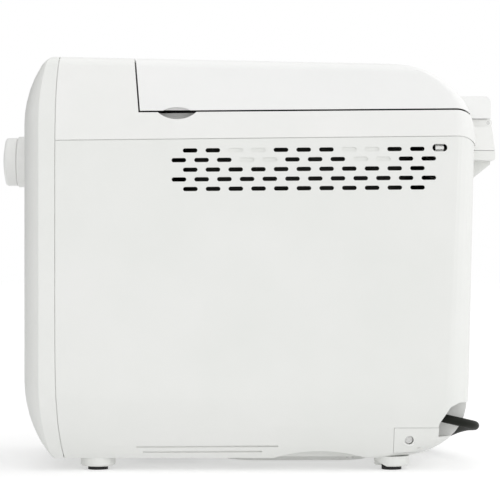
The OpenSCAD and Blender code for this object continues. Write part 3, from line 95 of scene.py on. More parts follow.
STEPS_PER_SPAN = 4


def coil_points():
    """Turn k runs on radius r_k at height z_k and steps over to those of the next turn with a
    smooth step of STEP_SPAN of a turn near its end. A later turn steps a little earlier, the second
    bulging inwards and the third upwards, so that the turns pass a diameter apart. The coil starts
    at its rear, heading -X, and ends a quarter turn after the last full one, heading -Y."""
    run = np.arange(1, int(POINTS_PER_TURN * COIL_TURNS) + 1) / POINTS_PER_TURN
    turn = run.astype(int)
    after = np.minimum(turn + 1, len(COIL_LAYERS) - 1)
    layers = np.array(COIL_LAYERS, float)
    ease = np.clip((run - turn - 1 + STEP_SPAN + np.array(STEP_LEAD)[turn]) / STEP_SPAN, 0, 1)
    ease = ease * ease * (3 - 2 * ease)
    radius, height = (layers[turn] + (layers[after] - layers[turn]) * ease[:, None]).T
    bulge = STEP_BULGE * 4 * ease * (1 - ease)
    radius = radius - np.where(turn == 1, bulge, 0)
    height = height + np.where(turn == 2, bulge, 0)
    angle = math.pi / 2 + 2 * math.pi * run
    x = COIL_AT[0] + radius * np.cos(angle)
    y = COIL_AT[1] + radius * np.sin(angle)
    return np.column_stack([x, y, height])


def eased(points, steps):
    """Smooth line through points: from p1 to p2 it is the cubic with end slopes (p2 - p0) / 2 and
    (p3 - p1) / 2, where p0 and p3 are the neighbours. Each span is cut into equal steps."""
    p = np.concatenate([2 * points[:1] - points[1:2], points, 2 * points[-1:] - points[-2:-1]])
    p0, p1, p2, p3 = (p[k:len(p) - 3 + k, None] for k in range(4))
    t = (np.arange(steps) / steps)[None, :, None]
    square = 2 * p0 - 5 * p1 + 4 * p2 - p3
    cube = 3 * p1 - p0 - 3 * p2 + p3
    line = (2 * p1 + (p2 - p0) * t + square * t**2 + cube * t**3) / 2
    return np.concatenate([line.reshape(-1, 3), points[-1:]])


def cord_line():
    """Ring centres of the cord, in millimetres: the route, the coil and the run into the plug."""
    points = np.concatenate([np.array(ROUTE, float), coil_points(), np.array(LEAD_OUT)])
    return eased(points, STEPS_PER_SPAN)


# ---- surfaces ---------------------------------------------------------------

SAME_POINT_M = 1e-7
NO_LENGTH_M = 1e-8
GROOVE_STEEPNESS = 1.6
TOP_START_Y, TOP_START_Z = -153.0, 329.0
TOP_FALL = math.radians(1.2)
PANEL_Y = -115.9


def new_piece(name, parts, finish, body, sharp_over=35, closed=True):
    """One mesh from grids of points (rows, columns, 3) in millimetres. In a closed piece each row is
    a loop and the first and last rows are capped; otherwise each grid is an open sheet. Repeated
    points are merged, closed pieces are turned outwards, and edges over sharp_over degrees stay
    sharp."""
    points, faces, start = [], [], 0
    for grid in parts:
        rows, columns = grid.shape[:2]
        index = start + np.arange(rows * columns).reshape(rows, columns)
        if closed:
            faces += [index[0].tolist(), index[-1, ::-1].tolist()]
            index = np.hstack([index, index[:, :1]])
        quads = np.stack([index[:-1, :-1], index[1:, :-1], index[1:, 1:], index[:-1, 1:]], axis=-1)
        faces += quads.reshape(-1, 4).tolist()
        points.append(grid.reshape(-1, 3))
        start += rows * columns
    mesh = bpy.data.meshes.new(name)
    mesh.from_pydata(np.concatenate(points) * MM, [], faces)
    cleaned = bmesh.new()
    cleaned.from_mesh(mesh)
    bmesh.ops.remove_doubles(cleaned, verts=cleaned.verts, dist=SAME_POINT_M)
    bmesh.ops.dissolve_degenerate(cleaned, edges=cleaned.edges, dist=NO_LENGTH_M)
    if closed:
        bmesh.ops.recalc_face_normals(cleaned, faces=cleaned.faces)
    cleaned.to_mesh(mesh)
    cleaned.free()
    mesh.polygons.foreach_set("use_smooth", [True] * len(mesh.polygons))
    mesh.set_sharp_from_angle(angle=math.radians(sharp_over))
    mesh.materials.append(finishes[finish])
    piece = bpy.data.objects.new(name, mesh)
    scene.collection.objects.link(piece)
    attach(piece, body)
    return piece


def swept(path, side, half_wide, half_high, power=2.0, columns=48):
    """Superellipse sections along a path. At path point p, with s across and u upright to the path,
    a point is p + a |cos v|^(2/n) s + b |sin v|^(2/n) u with the signs of cos v and sin v; the half
    width a, the half height b and the power n may change along the path."""
    path = np.asarray(path, float)
    tangent = np.gradient(path, axis=0)
    tangent /= np.linalg.norm(tangent, axis=1, keepdims=True)
    across = np.broadcast_to(np.asarray(side, float), path.shape)
    up = np.cross(across, tangent)
    v = np.linspace(0, 2 * math.pi, columns, endpoint=False)
    power = np.broadcast_to(np.asarray(power, float), (len(path),))[:, None]
    wide = np.sign(np.cos(v)) * np.abs(np.cos(v)) ** (2 / power) * np.asarray(half_wide, float)[:, None]
    high = np.sign(np.sin(v)) * np.abs(np.sin(v)) ** (2 / power) * np.asarray(half_high, float)[:, None]
    return path[:, None] + wide[..., None] * across[:, None] + high[..., None] * up[:, None]


def ringed(s, core, first, last, pitch, depth):
    """Radius of a flexible sleeve: core, less a rounded groove of the given depth once each pitch
    between first and last. The groove is the positive part of a cosine, steepened and cut off to a
    flat bottom."""
    wave = np.clip(np.cos(2 * math.pi * (s - first) / pitch - math.pi) * GROOVE_STEEPNESS, 0, 1)
    return core - depth * wave * ((s > first) & (s < last))


def on_top(sheet, lift):
    """A flat sheet laid on the falling top: its x stays across, its y runs back along the panel, and
    it stands lift out of the surface. The top falls by TOP_FALL from the line where it starts."""
    along = (PANEL_Y + sheet[..., 1] - TOP_START_Y) / math.cos(TOP_FALL)
    back = TOP_START_Y + along * math.cos(TOP_FALL) + lift * math.sin(TOP_FALL)
    rise = TOP_START_Z - along * math.sin(TOP_FALL) + lift * math.cos(TOP_FALL)
    return np.stack([sheet[..., 0], back, rise], axis=-1)


# ---- shader groups ----------------------------------------------------------

FLOAT, VECTOR = "NodeSocketFloat", "NodeSocketVector"
SURFACE_OUTPUTS = [("Normal", VECTOR), ("Roughness", FLOAT), ("Tint", FLOAT)]
GRAIN_HEIGHT_M = 0.0004
LINE_HEIGHT_M = 0.0002


def new_group(name, inputs, outputs):
    """A shader node group; inputs are (name, socket type, default), outputs (name, socket type)."""
    group = bpy.data.node_groups.new(name, "ShaderNodeTree")
    for label, kind, default in inputs:
        socket = group.interface.new_socket(name=label, in_out="INPUT", socket_type=kind)
        socket.default_value = default
    for label, kind in outputs:
        group.interface.new_socket(name=label, in_out="OUTPUT", socket_type=kind)
    start = group.nodes.new("NodeGroupInput")
    end = group.nodes.new("NodeGroupOutput")
    return group, start, end


def add(tree, kind, **values):
    """Adds a node; keyword names that are node properties are set on it, the others on its inputs."""
    node = tree.nodes.new(kind)
    for key, value in values.items():
        if hasattr(node, key):
            setattr(node, key, value)
        else:
            node.inputs[key.replace("_", " ")].default_value = value
    return node


def give_surface(group, start, end, height, height_m, drift_by, tint):
    """Group outputs: the bump normal of a height pattern, a roughness that drifts around its middle
    value by Drift times (pattern - 1/2), and the mask for the two tones."""
    link = group.links.new
    bump = add(group, "ShaderNodeBump", Distance=height_m)
    link(start.outputs["Depth"], bump.inputs["Strength"])
    link(height, bump.inputs["Height"])
    centred = add(group, "ShaderNodeMath", operation="SUBTRACT")
    centred.inputs[1].default_value = 0.5
    link(drift_by, centred.inputs[0])
    drift = add(group, "ShaderNodeMath", operation="MULTIPLY_ADD")
    link(centred.outputs[0], drift.inputs[0])
    link(start.outputs["Drift"], drift.inputs[1])
    link(start.outputs["Roughness"], drift.inputs[2])
    link(bump.outputs["Normal"], end.inputs["Normal"])
    link(drift.outputs[0], end.inputs["Roughness"])
    link(tint, end.inputs["Tint"])


def moulded_grain():
    """Fine moulded texture: two noises of the object's own coordinates, one fine for the surface
    and one broad for slight sink and gloss differences."""
    inputs = [("Scale", FLOAT, 900.0), ("Depth", FLOAT, 0.1), ("Roughness", FLOAT, 0.4),
              ("Drift", FLOAT, 0.08)]
    group, start, end = new_group("moulded_grain", inputs, SURFACE_OUTPUTS)
    link = group.links.new
    place = add(group, "ShaderNodeTexCoord")
    fine = add(group, "ShaderNodeTexNoise", Detail=3.0)
    broad = add(group, "ShaderNodeTexNoise", Scale=14.0, Detail=3.0)
    link(place.outputs["Object"], fine.inputs["Vector"])
    link(place.outputs["Object"], broad.inputs["Vector"])
    link(start.outputs["Scale"], fine.inputs["Scale"])
    pattern = broad.outputs["Fac"]
    give_surface(group, start, end, fine.outputs["Fac"], GRAIN_HEIGHT_M, pattern, pattern)
    return group


def drawn_metal():
    """Fine lines along one axis: a noise whose coordinates are stretched along that axis."""
    inputs = [("Stretch", VECTOR, (20.0, 900.0, 900.0)), ("Depth", FLOAT, 0.1), ("Roughness", FLOAT, 0.3),
              ("Drift", FLOAT, 0.2)]
    group, start, end = new_group("drawn_metal", inputs, SURFACE_OUTPUTS)
    link = group.links.new
    place = add(group, "ShaderNodeTexCoord")
    stretch = add(group, "ShaderNodeVectorMath", operation="MULTIPLY")
    link(place.outputs["Object"], stretch.inputs[0])
    link(start.outputs["Stretch"], stretch.inputs[1])
    lines = add(group, "ShaderNodeTexNoise", Scale=1.0, Detail=4.0)
    link(stretch.outputs[0], lines.inputs["Vector"])
    cloud = add(group, "ShaderNodeTexNoise", Scale=25.0, Detail=4.0)
    link(place.outputs["Object"], cloud.inputs["Vector"])
    pattern = lines.outputs["Fac"]
    give_surface(group, start, end, pattern, LINE_HEIGHT_M, pattern, cloud.outputs["Fac"])
    return group


def speckle():
    """Small scattered spots: a cell noise of the object's coordinates, kept where its distance is
    short."""
    inputs = [("Scale", FLOAT, 700.0), ("Size", FLOAT, 0.2)]
    group, start, end = new_group("speckle", inputs, [("Mask", FLOAT)])
    link = group.links.new
    place = add(group, "ShaderNodeTexCoord")
    cells = add(group, "ShaderNodeTexVoronoi", feature="F1")
    link(place.outputs["Object"], cells.inputs["Vector"])
    link(start.outputs["Scale"], cells.inputs["Scale"])
    near = add(group, "ShaderNodeMath", operation="LESS_THAN")
    link(cells.outputs["Distance"], near.inputs[0])
    link(start.outputs["Size"], near.inputs[1])
    link(near.outputs[0], end.inputs["Mask"])
    return group


MOULDED = moulded_grain()
DRAWN = drawn_metal()
SPECKLE = speckle()


# ---- materials --------------------------------------------------------------

TONE_START, TONE_END = 0.3, 0.7
COAT_ROUGHNESS = 0.15


def new_material(name):
    """An empty material, with its node tree and the shader in it."""
    material = bpy.data.materials.new(name)
    material.use_nodes = True
    tree = material.node_tree
    return material, tree, tree.nodes["Principled BSDF"]


def place_group(tree, group, **values):
    """A group node with its inputs set; an underscore in a keyword stands for a space."""
    node = tree.nodes.new("ShaderNodeGroup")
    node.node_tree = group
    for key, value in values.items():
        node.inputs[key.replace("_", " ")].default_value = value
    return node


def dress(tree, shader, surface, mask, first, second):
    """Takes roughness and normal from a surface group, and the colour from first to second as the
    mask goes from TONE_START to TONE_END."""
    ramp = add(tree, "ShaderNodeValToRGB")
    tones = ramp.color_ramp.elements
    tones[0].color, tones[1].color = (*first, 1), (*second, 1)
    tones[0].position, tones[1].position = TONE_START, TONE_END
    tree.links.new(mask, ramp.inputs["Fac"])
    tree.links.new(ramp.outputs["Color"], shader.inputs["Base Color"])
    tree.links.new(surface.outputs["Roughness"], shader.inputs["Roughness"])
    tree.links.new(surface.outputs["Normal"], shader.inputs["Normal"])


def plastic(name, first, second, roughness=0.4, grain=900.0, depth=0.1, drift=0.08, coat=0.0, ior=1.5):
    """Moulded plastic or rubber whose colour drifts between two near tones."""
    material, tree, shader = new_material(name)
    surface = place_group(tree, MOULDED, Scale=grain, Depth=depth, Roughness=roughness, Drift=drift)
    dress(tree, shader, surface, surface.outputs["Tint"], first, second)
    shader.inputs["IOR"].default_value = ior
    shader.inputs["Coat Weight"].default_value = coat
    shader.inputs["Coat Roughness"].default_value = COAT_ROUGHNESS
    return material


def metal(name, first, second, roughness=0.3, stretch=(20.0, 900.0, 900.0), depth=0.1, drift=0.15):
    """Metal with fine drawn lines along one axis."""
    material, tree, shader = new_material(name)
    surface = place_group(tree, DRAWN, Stretch=stretch, Depth=depth, Roughness=roughness, Drift=drift)
    dress(tree, shader, surface, surface.outputs["Tint"], first, second)
    shader.inputs["Metallic"].default_value = 1.0
    return material


def coated_metal(name, base, spot, roughness=0.45, scale=900.0, size=0.22):
    """Non-stick coating: dark, slightly rough, with fine lighter specks."""
    material, tree, shader = new_material(name)
    surface = place_group(tree, MOULDED, Scale=1400.0, Depth=0.12, Roughness=roughness, Drift=0.15)
    specks = place_group(tree, SPECKLE, Scale=scale, Size=size)
    dress(tree, shader, surface, specks.outputs["Mask"], base, spot)
    return material


def finish_table(make, rows):
    """Materials by name. A row is the name, the darker and the lighter tone, and other settings."""
    return {name: make(name, first, second, **settings) for name, first, second, settings in rows}


# settings that several finishes share
HOUSING = dict(roughness=0.36, grain=1500, depth=0.045)
DISPLAY = dict(roughness=0.1, grain=400, depth=0.01, drift=0.03, coat=0.8)

finishes = finish_table(plastic, [
    ("white_plastic", (0.79, 0.80, 0.775), (0.82, 0.825, 0.805),
     HOUSING | dict(roughness=0.38, depth=0.05)),
    # painted light: the dial, lid and frame whites are lighter copies of the housing's white plastic,
    # standing in for the stronger light that falls on them
    ("dial_plastic_painted_light", (0.86, 0.865, 0.85), (0.89, 0.89, 0.875), HOUSING),
    ("lid_plastic_painted_light", (0.85, 0.855, 0.845), (0.88, 0.88, 0.87), HOUSING | dict(roughness=0.34)),
    ("frame_plastic_painted_light", (0.83, 0.835, 0.815), (0.86, 0.86, 0.845), HOUSING | dict(depth=0.05)),
    ("white_inner", (0.70, 0.70, 0.68), (0.76, 0.76, 0.74), dict(roughness=0.55, grain=1200, depth=0.12)),
    ("panel_plastic", (0.44, 0.45, 0.46), (0.50, 0.51, 0.52), dict(roughness=0.42, grain=2000, depth=0.06)),
    ("button_plastic", (0.72, 0.73, 0.72), (0.78, 0.79, 0.78),
     dict(roughness=0.36, grain=1600, depth=0.05)),
    ("motor_enamel", (0.12, 0.13, 0.14), (0.2, 0.21, 0.22), dict(roughness=0.5, grain=400, depth=0.2)),
    ("rubber", (0.012, 0.012, 0.013), (0.03, 0.03, 0.03),
     dict(roughness=0.75, grain=1800, depth=0.3, drift=0.2)),
    ("cord_plastic", (0.006, 0.007, 0.005), (0.011, 0.013, 0.009),
     dict(roughness=0.55, grain=1500, ior=1.25)),
    ("belt_rubber", (0.014, 0.014, 0.014), (0.04, 0.04, 0.04), dict(roughness=0.8, depth=0.4)),
    ("board_resin", (0.02, 0.13, 0.06), (0.035, 0.19, 0.09), dict(grain=500, depth=0.2)),
    ("part_black", (0.02, 0.02, 0.022), (0.045, 0.045, 0.05), dict(roughness=0.45, grain=700, depth=0.12)),
    ("tie_plastic", (0.015, 0.015, 0.016), (0.03, 0.03, 0.032),
     dict(roughness=0.35, grain=600, depth=0.15)),
    ("mark_grey", (0.11, 0.115, 0.12), (0.15, 0.155, 0.16), dict(roughness=0.45, grain=2500, depth=0.05)),
    ("display_pale", (0.30, 0.335, 0.285), (0.33, 0.365, 0.31), DISPLAY),
    ("display_bar", (0.235, 0.265, 0.22), (0.255, 0.285, 0.24), DISPLAY),
    ("display_lens", (0.012, 0.014, 0.013), (0.018, 0.02, 0.018),
     DISPLAY | dict(roughness=0.08, grain=300, coat=0.6)),
]) | finish_table(metal, [
    ("plated_steel", (0.58, 0.58, 0.57), (0.68, 0.68, 0.67), dict(roughness=0.32)),
    ("aluminised_sheet", (0.50, 0.50, 0.49), (0.62, 0.62, 0.61),
     dict(roughness=0.42, stretch=(40, 40, 500), depth=0.06)),
    # painted shade: a dark copy of the aluminised sheet for the chamber's outer faces, standing in for the
    # shade seen through the vents
    ("chamber_outside_painted_shade", (0.05, 0.05, 0.046), (0.09, 0.09, 0.084),
     dict(roughness=0.6, stretch=(40, 40, 300), depth=0.08)),
    ("cast_aluminium", (0.46, 0.47, 0.48), (0.60, 0.61, 0.62),
     dict(roughness=0.45, stretch=(500, 500, 500), depth=0.25)),
    ("bronze", (0.50, 0.30, 0.13), (0.60, 0.38, 0.18), dict(roughness=0.35)),
    ("heater_sheath", (0.10, 0.095, 0.09), (0.20, 0.19, 0.18),
     dict(roughness=0.5, stretch=(300, 300, 300))),
    ("pin_metal", (0.55, 0.52, 0.46), (0.66, 0.63, 0.57),
     dict(roughness=0.28, stretch=(400, 30, 400), depth=0.05)),
]) | finish_table(coated_metal, [
    ("nonstick", (0.045, 0.045, 0.047), (0.16, 0.16, 0.165), {}),
    ("liner_coat", (0.10, 0.10, 0.105), (0.14, 0.14, 0.145), dict(roughness=0.5, size=0.15)),
])

WORN_BY = {
    "white_plastic": "front_cover body_shell base_plate cord_cover",
    # the dial, lid and frame wear the lighter painted-light copies of the white plastic
    "dial_plastic_painted_light": "dial_collar dial_knob",
    "frame_plastic_painted_light": "upper_frame",
    "lid_plastic_painted_light": "lid_cover dispenser_door",
    "white_inner": "dispenser_hopper large_pulley",
    "panel_plastic": "control_panel",
    "button_plastic": "button_menu button_loaf button_crust button_timer button_start button_stop",
    "motor_enamel": "motor",
    "rubber": "foot_pads lid_gasket",
    "cord_plastic": "strain_relief mains_plug",
    "belt_rubber": "drive_belt",
    "board_resin": "control_board power_board",
    "display_lens": "display_glass",
    "plated_steel": "base_screws cord_cover_screw motor_screws hinge_pin dial_encoder dial_shaft thermistor"
    " pan_seat heater_brackets flap_solenoid dispenser_flap drive_shaft drive_coupler motor_shaft"
    " small_pulley pan_handle pan_shaft pan_coupler",
    "aluminised_sheet": "baking_chamber drive_chassis",
    "cast_aluminium": "pan_base",
    "bronze": "shaft_bushes pan_bush",
    "heater_sheath": "heater",
    "nonstick": "bread_pan kneading_blade",
    "liner_coat": "lid_liner",
}
SMOOTH_UP_TO = math.radians(24)
JOIN_WITHIN_M = 1e-6


def finish_nodes():
    """Gives each carried-over node its material, joins its loose triangles for display and
    shades it smooth, with creases kept where faces meet at more than SMOOTH_UP_TO."""
    for finish, names in WORN_BY.items():
        for name in names.split():
            node = nodes[name]
            node.data.materials.clear()
            node.data.materials.append(finishes[finish])
            node.data.polygons.foreach_set("use_smooth", [True] * len(node.data.polygons))
            weld = node.modifiers.new("join_triangles", "WELD")
            weld.merge_threshold = JOIN_WITHIN_M
            split = node.modifiers.new("keep_creases", "EDGE_SPLIT")
            split.split_angle = SMOOTH_UP_TO
            split.use_edge_sharp = False
            node.modifiers.new("even_normals", "WEIGHTED_NORMAL").keep_sharp = True


finish_nodes()


# ---- details on the carried-over solids -------------------------------------

CHAMBER_MIDDLE = (0, 43, 0)
FACES_OUT_OVER, FACES_DOWN_UNDER = 1, -0.5
BOARD_TOP_Y, BOARD_TOP_Z = (-148, -82), (318.6, 317.2)
CLEAR_OF_BOARD = 0.4
DISPLAY_MODULE_HALF = 32
POWER_BOARD_BACK = -147.8
BLACK_PARTS_UP_TO, SINK_FROM = 20.5, 23.5
DIAL_Z = 250
POINTER_LOW, POINTER_HIGH = (-0.75, -210, DIAL_Z + 11), (0.75, -180, DIAL_Z + 17.4)
END_PLATE_T = 1


def centres_and_normals(node):
    """Middle of each face in millimetres, and its normal."""
    mesh = nodes[node].data
    at = np.empty(len(mesh.polygons) * 3)
    facing = np.empty(len(mesh.polygons) * 3)
    mesh.polygons.foreach_get("center", at)
    mesh.polygons.foreach_get("normal", facing)
    return at.reshape(-1, 3) / MM, facing.reshape(-1, 3)


def paint(node, finish, chosen):
    """Gives the chosen faces of a node a finish of their own."""
    mesh = nodes[node].data
    index = np.empty(len(mesh.polygons), int)
    mesh.polygons.foreach_get("material_index", index)
    mesh.materials.append(finishes[finish])
    index[chosen] = len(mesh.materials) - 1
    mesh.polygons.foreach_set("material_index", index)


def paint_nodes():
    """Faces that are finished apart: the chamber's outside, painted dark as shade for the view through the
    vents, the parts that stand on the two boards, the groove of the dial's pointer and the motor's end
    plate."""
    # painted shade: the chamber's outward and downward faces are darkened so that the vents show shade
    # behind them
    at, facing = centres_and_normals("baking_chamber")
    outward = ((at - CHAMBER_MIDDLE) * facing * (1, 1, 0)).sum(axis=1) > FACES_OUT_OVER
    paint("baking_chamber", "chamber_outside_painted_shade", outward | (facing[:, 2] < FACES_DOWN_UNDER))
    at = centres_and_normals("control_board")[0]
    standing = at[:, 2] > np.interp(at[:, 1], BOARD_TOP_Y, BOARD_TOP_Z) + CLEAR_OF_BOARD
    paint("control_board", "part_black", standing & (np.abs(at[:, 0]) > DISPLAY_MODULE_HALF))
    paint("control_board", "plated_steel", standing & (np.abs(at[:, 0]) < DISPLAY_MODULE_HALF))
    at = centres_and_normals("power_board")[0]
    standing = at[:, 1] > POWER_BOARD_BACK
    paint("power_board", "part_black", standing & (at[:, 0] < BLACK_PARTS_UP_TO))
    paint("power_board", "cast_aluminium", standing & (at[:, 0] > SINK_FROM))
    at = centres_and_normals("dial_knob")[0]
    paint("dial_knob", "mark_grey", np.all((at > POINTER_LOW) & (at < POINTER_HIGH), axis=1))
    at = centres_and_normals("motor")[0]
    paint("motor", "plated_steel", at[:, 2] > at[:, 2].max() - END_PLATE_T)


paint_nodes()


# ---- cord, its sleeve, tie and plug -----------------------------------------

SLEEVE_FROM = (104, 138.1, 47.7)
SLEEVE_TILT = math.radians(14)
SLEEVE_BEND_L = 4
SLEEVE_FLANGES = [  # distance and radius of each station across the wall
    (-5.2, 0), (-5.2, 7.4), (-2.7, 7.4), (-2.7, 5.4), (0, 5.4),
    (0, 6.4), (0.3, 6.9), (1.5, 7), (2, 6.6), (2.2, 5.9),
]
SLEEVE_TAIL = [(2.4, 5.7), (15.8, 4.4), (16.6, 3.6)]
SLEEVE_GROOVES = dict(first=3.4, last=15.2, pitch=2.3, depth=0.9)
SLEEVE_STEPS, SLEEVE_COLUMNS = 150, 40


def make_sleeve():
    """Round sections whose middle runs straight back and then bends down by the tilt. The first
    stations are the flanges on both sides of the wall; after them the radius tapers to the cord
    with rounded grooves at an even pitch."""
    flange_s, flange_r = np.array(SLEEVE_FLANGES).T
    tail_s, tail_r = np.array(SLEEVE_TAIL).T
    tail = np.linspace(tail_s[0], tail_s[-1], SLEEVE_STEPS)
    s = np.concatenate([flange_s, tail])
    radius = np.concatenate([flange_r, ringed(tail, np.interp(tail, tail_s, tail_r), **SLEEVE_GROOVES)])
    bend = np.clip(s / SLEEVE_BEND_L, 0, 1)
    y = SLEEVE_FROM[1] + s * (1 - bend * (1 - math.cos(SLEEVE_TILT)))
    z = SLEEVE_FROM[2] - s * bend * math.sin(SLEEVE_TILT)
    path = np.column_stack([np.full_like(s, SLEEVE_FROM[0]), y, z])
    v = np.linspace(0, 2 * math.pi, SLEEVE_COLUMNS, endpoint=False)
    lean = (bend * SLEEVE_TILT)[:, None]
    ring = np.stack([np.cos(v) + 0 * lean, np.sin(lean) * np.sin(v), np.cos(lean) * np.sin(v)], axis=-1)
    points = path[:, None] + radius[:, None, None] * ring
    piece = new_piece("cord_sleeve", [points], "cord_plastic", "machine")
    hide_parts("strain_relief")
    return piece


TIE_ANGLE = math.radians(140)
TIE_MIDDLE_R, TIE_MIDDLE_Z = 40, 7.15
TIE_HALF = np.array([7.3, 7.15])
TIE_SQUARENESS = 0.55
TIE_WIDTH = 5
TIE_THICK = 0.5
TIE_EDGE = [  # corners of the band's section: share of TIE_WIDTH across, and of TIE_THICK out
    (-0.5, 0.25), (-0.42, 1), (0.42, 1), (0.5, 0.25), (0.42, -0.4), (-0.42, -0.4),
]
BAND_STEPS, TAIL_STEPS = 72, 60
TAIL_L, TAIL_RISE, TAIL_SUNK = 9, 3, 0.4
TAIL_TURN = 5 * math.pi
TAIL_APART, TAIL_HALF = 0.75, 0.8


def make_tie():
    """Flat band round the coil's bundle: its sections follow a superellipse around the bundle's
    middle, and its edges are rounded by narrowing towards both faces. A twisted tail stands at
    its outer side: two strands, each a helix round the tail's line."""
    radial = np.array([math.cos(TIE_ANGLE), math.sin(TIE_ANGLE), 0])
    along = np.array([-math.sin(TIE_ANGLE), math.cos(TIE_ANGLE), 0])
    upright = np.array([0, 0, 1])
    middle = np.array([*COIL_AT, 0]) + TIE_MIDDLE_R * radial + TIE_MIDDLE_Z * upright
    v = np.linspace(0, 2 * math.pi, BAND_STEPS, endpoint=False)
    round_v = np.column_stack([np.cos(v), np.sin(v)])
    loop = np.sign(round_v) * np.abs(round_v) ** TIE_SQUARENESS
    rows = []
    for across, out in TIE_EDGE:
        flat = loop * (TIE_HALF + TIE_THICK * (out - 1))
        rows.append(middle + across * TIE_WIDTH * along + flat[:, :1] * radial + flat[:, 1:] * upright)
    band = np.stack(rows, axis=1)
    u = np.linspace(0, 1, TAIL_STEPS)[:, None]
    centre = middle + (TIE_HALF[0] - TAIL_SUNK + TAIL_L * u) * radial + TAIL_RISE * u * upright
    twist = np.cos(TAIL_TURN * u) * along + np.sin(TAIL_TURN * u) * upright
    half = np.full(TAIL_STEPS, TAIL_HALF)
    tails = [swept(centre + sign * TAIL_APART * twist, along, half, half, columns=10) for sign in (1, -1)]
    parts = [np.concatenate([band, band[:1]]), *tails]
    return new_piece("coil_tie", parts, "tie_plastic", "machine")


PLUG_X, PLUG_Z = -218.5, 10.8
PLUG_FROM_Y, PLUG_FACE_Y = 96, 42
PLUG_STEPS = 260
PLUG_LOOK = [  # distance along Y, half width, half height, squareness
    (96, 3.7, 3.7, 2), (95, 4.3, 4.3, 2), (92, 4.9, 4.9, 2), (70, 5.9, 5.9, 2), (67.5, 7.4, 7, 2.2),
    (65, 9.4, 8.4, 2.5), (62, 10.9, 9.3, 2.8), (58, 11.2, 9.8, 3), (52, 10.6, 9.9, 3.2),
    (47, 11.2, 9.9, 3.4), (44, 11.9, 9.9, 3.6), (42.8, 12, 9.9, 3.6), (42.2, 11.7, 9.6, 3.6),
    (42, 11.1, 9, 3.6),
]
PLUG_SMOOTHING = 13
PLUG_SLEEVE = dict(first=-93, last=-71, pitch=3.4, depth=1.1)
PLUG_GRIP = dict(first=-61, last=-48, pitch=2.4, depth=0.5)
PIN_FROM_Y = 42.4
PIN_APART, PIN_DROP, PIN_L = 6.35, 3, 17.6
EARTH_RISE, EARTH_L, EARTH_R = 5.2, 20.2, 2.4
BLADE_TIP = np.array([0.35, 0.6])  # half thickness and half height at the tip
BLADE_GROWS = np.array([0.4, 2.6])  # and what both gain behind it
BLADE_SQUARENESS = 6
PIN_STEPS = 30
PIN_TIP_FROM, PIN_TIP_LEAST = 0.85, 0.02


def make_plug():
    """Moulded body: superellipse sections along Y whose half width, half height and squareness run
    through PLUG_LOOK, with sleeve grooves behind and shallow grip grooves in the waist. Two flat
    blades with eased tips and a round earth pin stand in its face."""
    y = np.linspace(PLUG_FROM_Y, PLUG_FACE_Y, PLUG_STEPS)
    look = np.array(PLUG_LOOK)[::-1]
    wide, high, square = (np.interp(y, look[:, 0], look[:, i]) for i in (1, 2, 3))
    weights = np.hanning(PLUG_SMOOTHING) / np.hanning(PLUG_SMOOTHING).sum()
    edge = PLUG_SMOOTHING // 2
    wide, high = (np.convolve(np.pad(a, edge, mode="edge"), weights, "valid") for a in (wide, high))
    sleeve = ringed(-y, 0 * y, **PLUG_SLEEVE)
    grip = ringed(-y, 0 * y, **PLUG_GRIP)
    path = np.column_stack([np.full_like(y, PLUG_X), y, np.full_like(y, PLUG_Z)])
    body = swept(path, (1, 0, 0), wide + sleeve + grip, high + sleeve, square, columns=64)
    plug = new_piece("plug_body", [body], "cord_plastic", "machine")
    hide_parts("mains_plug")

    s = np.linspace(0, 1, PIN_STEPS)
    past = np.clip((s - PIN_TIP_FROM) / (1 - PIN_TIP_FROM), 0, 1)
    tip = np.sqrt(np.clip(1 - past**2, PIN_TIP_LEAST, 1))
    blade = (*(BLADE_TIP + BLADE_GROWS * tip[:, None]).T, BLADE_SQUARENESS)
    earth = (EARTH_R * tip, EARTH_R * tip, 2)
    places = [(-PIN_APART, -PIN_DROP, PIN_L, blade), (PIN_APART, -PIN_DROP, PIN_L, blade),
              (0, EARTH_RISE, EARTH_L, earth)]
    pins = []
    for across, up, length, section in places:
        path = np.array([PLUG_X + across, PIN_FROM_Y, PLUG_Z + up]) - s[:, None] * (0, length, 0)
        pins.append(swept(path, (1, 0, 0), *section, columns=32))
    return plug, new_piece("plug_pins", pins, "pin_metal", "machine")


def make_cord(on_it):
    """Round tube about the cord's line: each ring is upright to the line, with one axis level."""
    line = cord_line()
    tangent = np.gradient(line, axis=0)
    level = np.cross(tangent, (0, 0, 1))
    level /= np.linalg.norm(level, axis=1, keepdims=True)
    radius = np.full(len(line), CORD_D / 2)
    tube = swept(line, level, radius, radius, columns=28)
    cord = new_piece("power_lead", [tube], "cord_plastic", "machine")
    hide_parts("power_cord", "cord_coil")


make_cord([make_sleeve(), make_tie(), *make_plug()])


# ---- print on the keys, the display and round the dial ----------------------

PRINT_LIFT = 0.04
KEY_TOP = 1.3
ARC_STEPS = 40
FAN_MIDDLE = 1e-3


def bar(x0, y0, x1, y1, width):
    """Sheet of 2 x 2 points: a straight stroke from one point to the other."""
    start, end = np.array([x0, y0]), np.array([x1, y1])
    side = np.array([start[1] - end[1], end[0] - start[0]])
    side = side / np.linalg.norm(side) * width / 2
    return np.array([[start - side, start + side], [end - side, end + side]])


def arc(x, y, radius, first, last, width):
    """Sheet along an arc: radius less and more half the width, angle from first to last degrees."""
    angle = np.radians(np.linspace(first, last, ARC_STEPS))[:, None]
    reach = np.array([radius + width / 2, radius - width / 2])
    return np.stack([x + reach * np.cos(angle), y + reach * np.sin(angle)], axis=-1)


def fan(x, y, radius, corners, turn=0):
    """Filled regular shape: a sheet from its middle out to its outline; 3 corners give a triangle."""
    angle = np.radians(np.linspace(0, 360, corners + 1) + turn)
    outline = np.stack([x + radius * np.cos(angle), y + radius * np.sin(angle)], axis=-1)
    middle = np.array([x, y]) + FAN_MIDDLE * (outline - (x, y))
    return np.stack([middle, outline], axis=0)


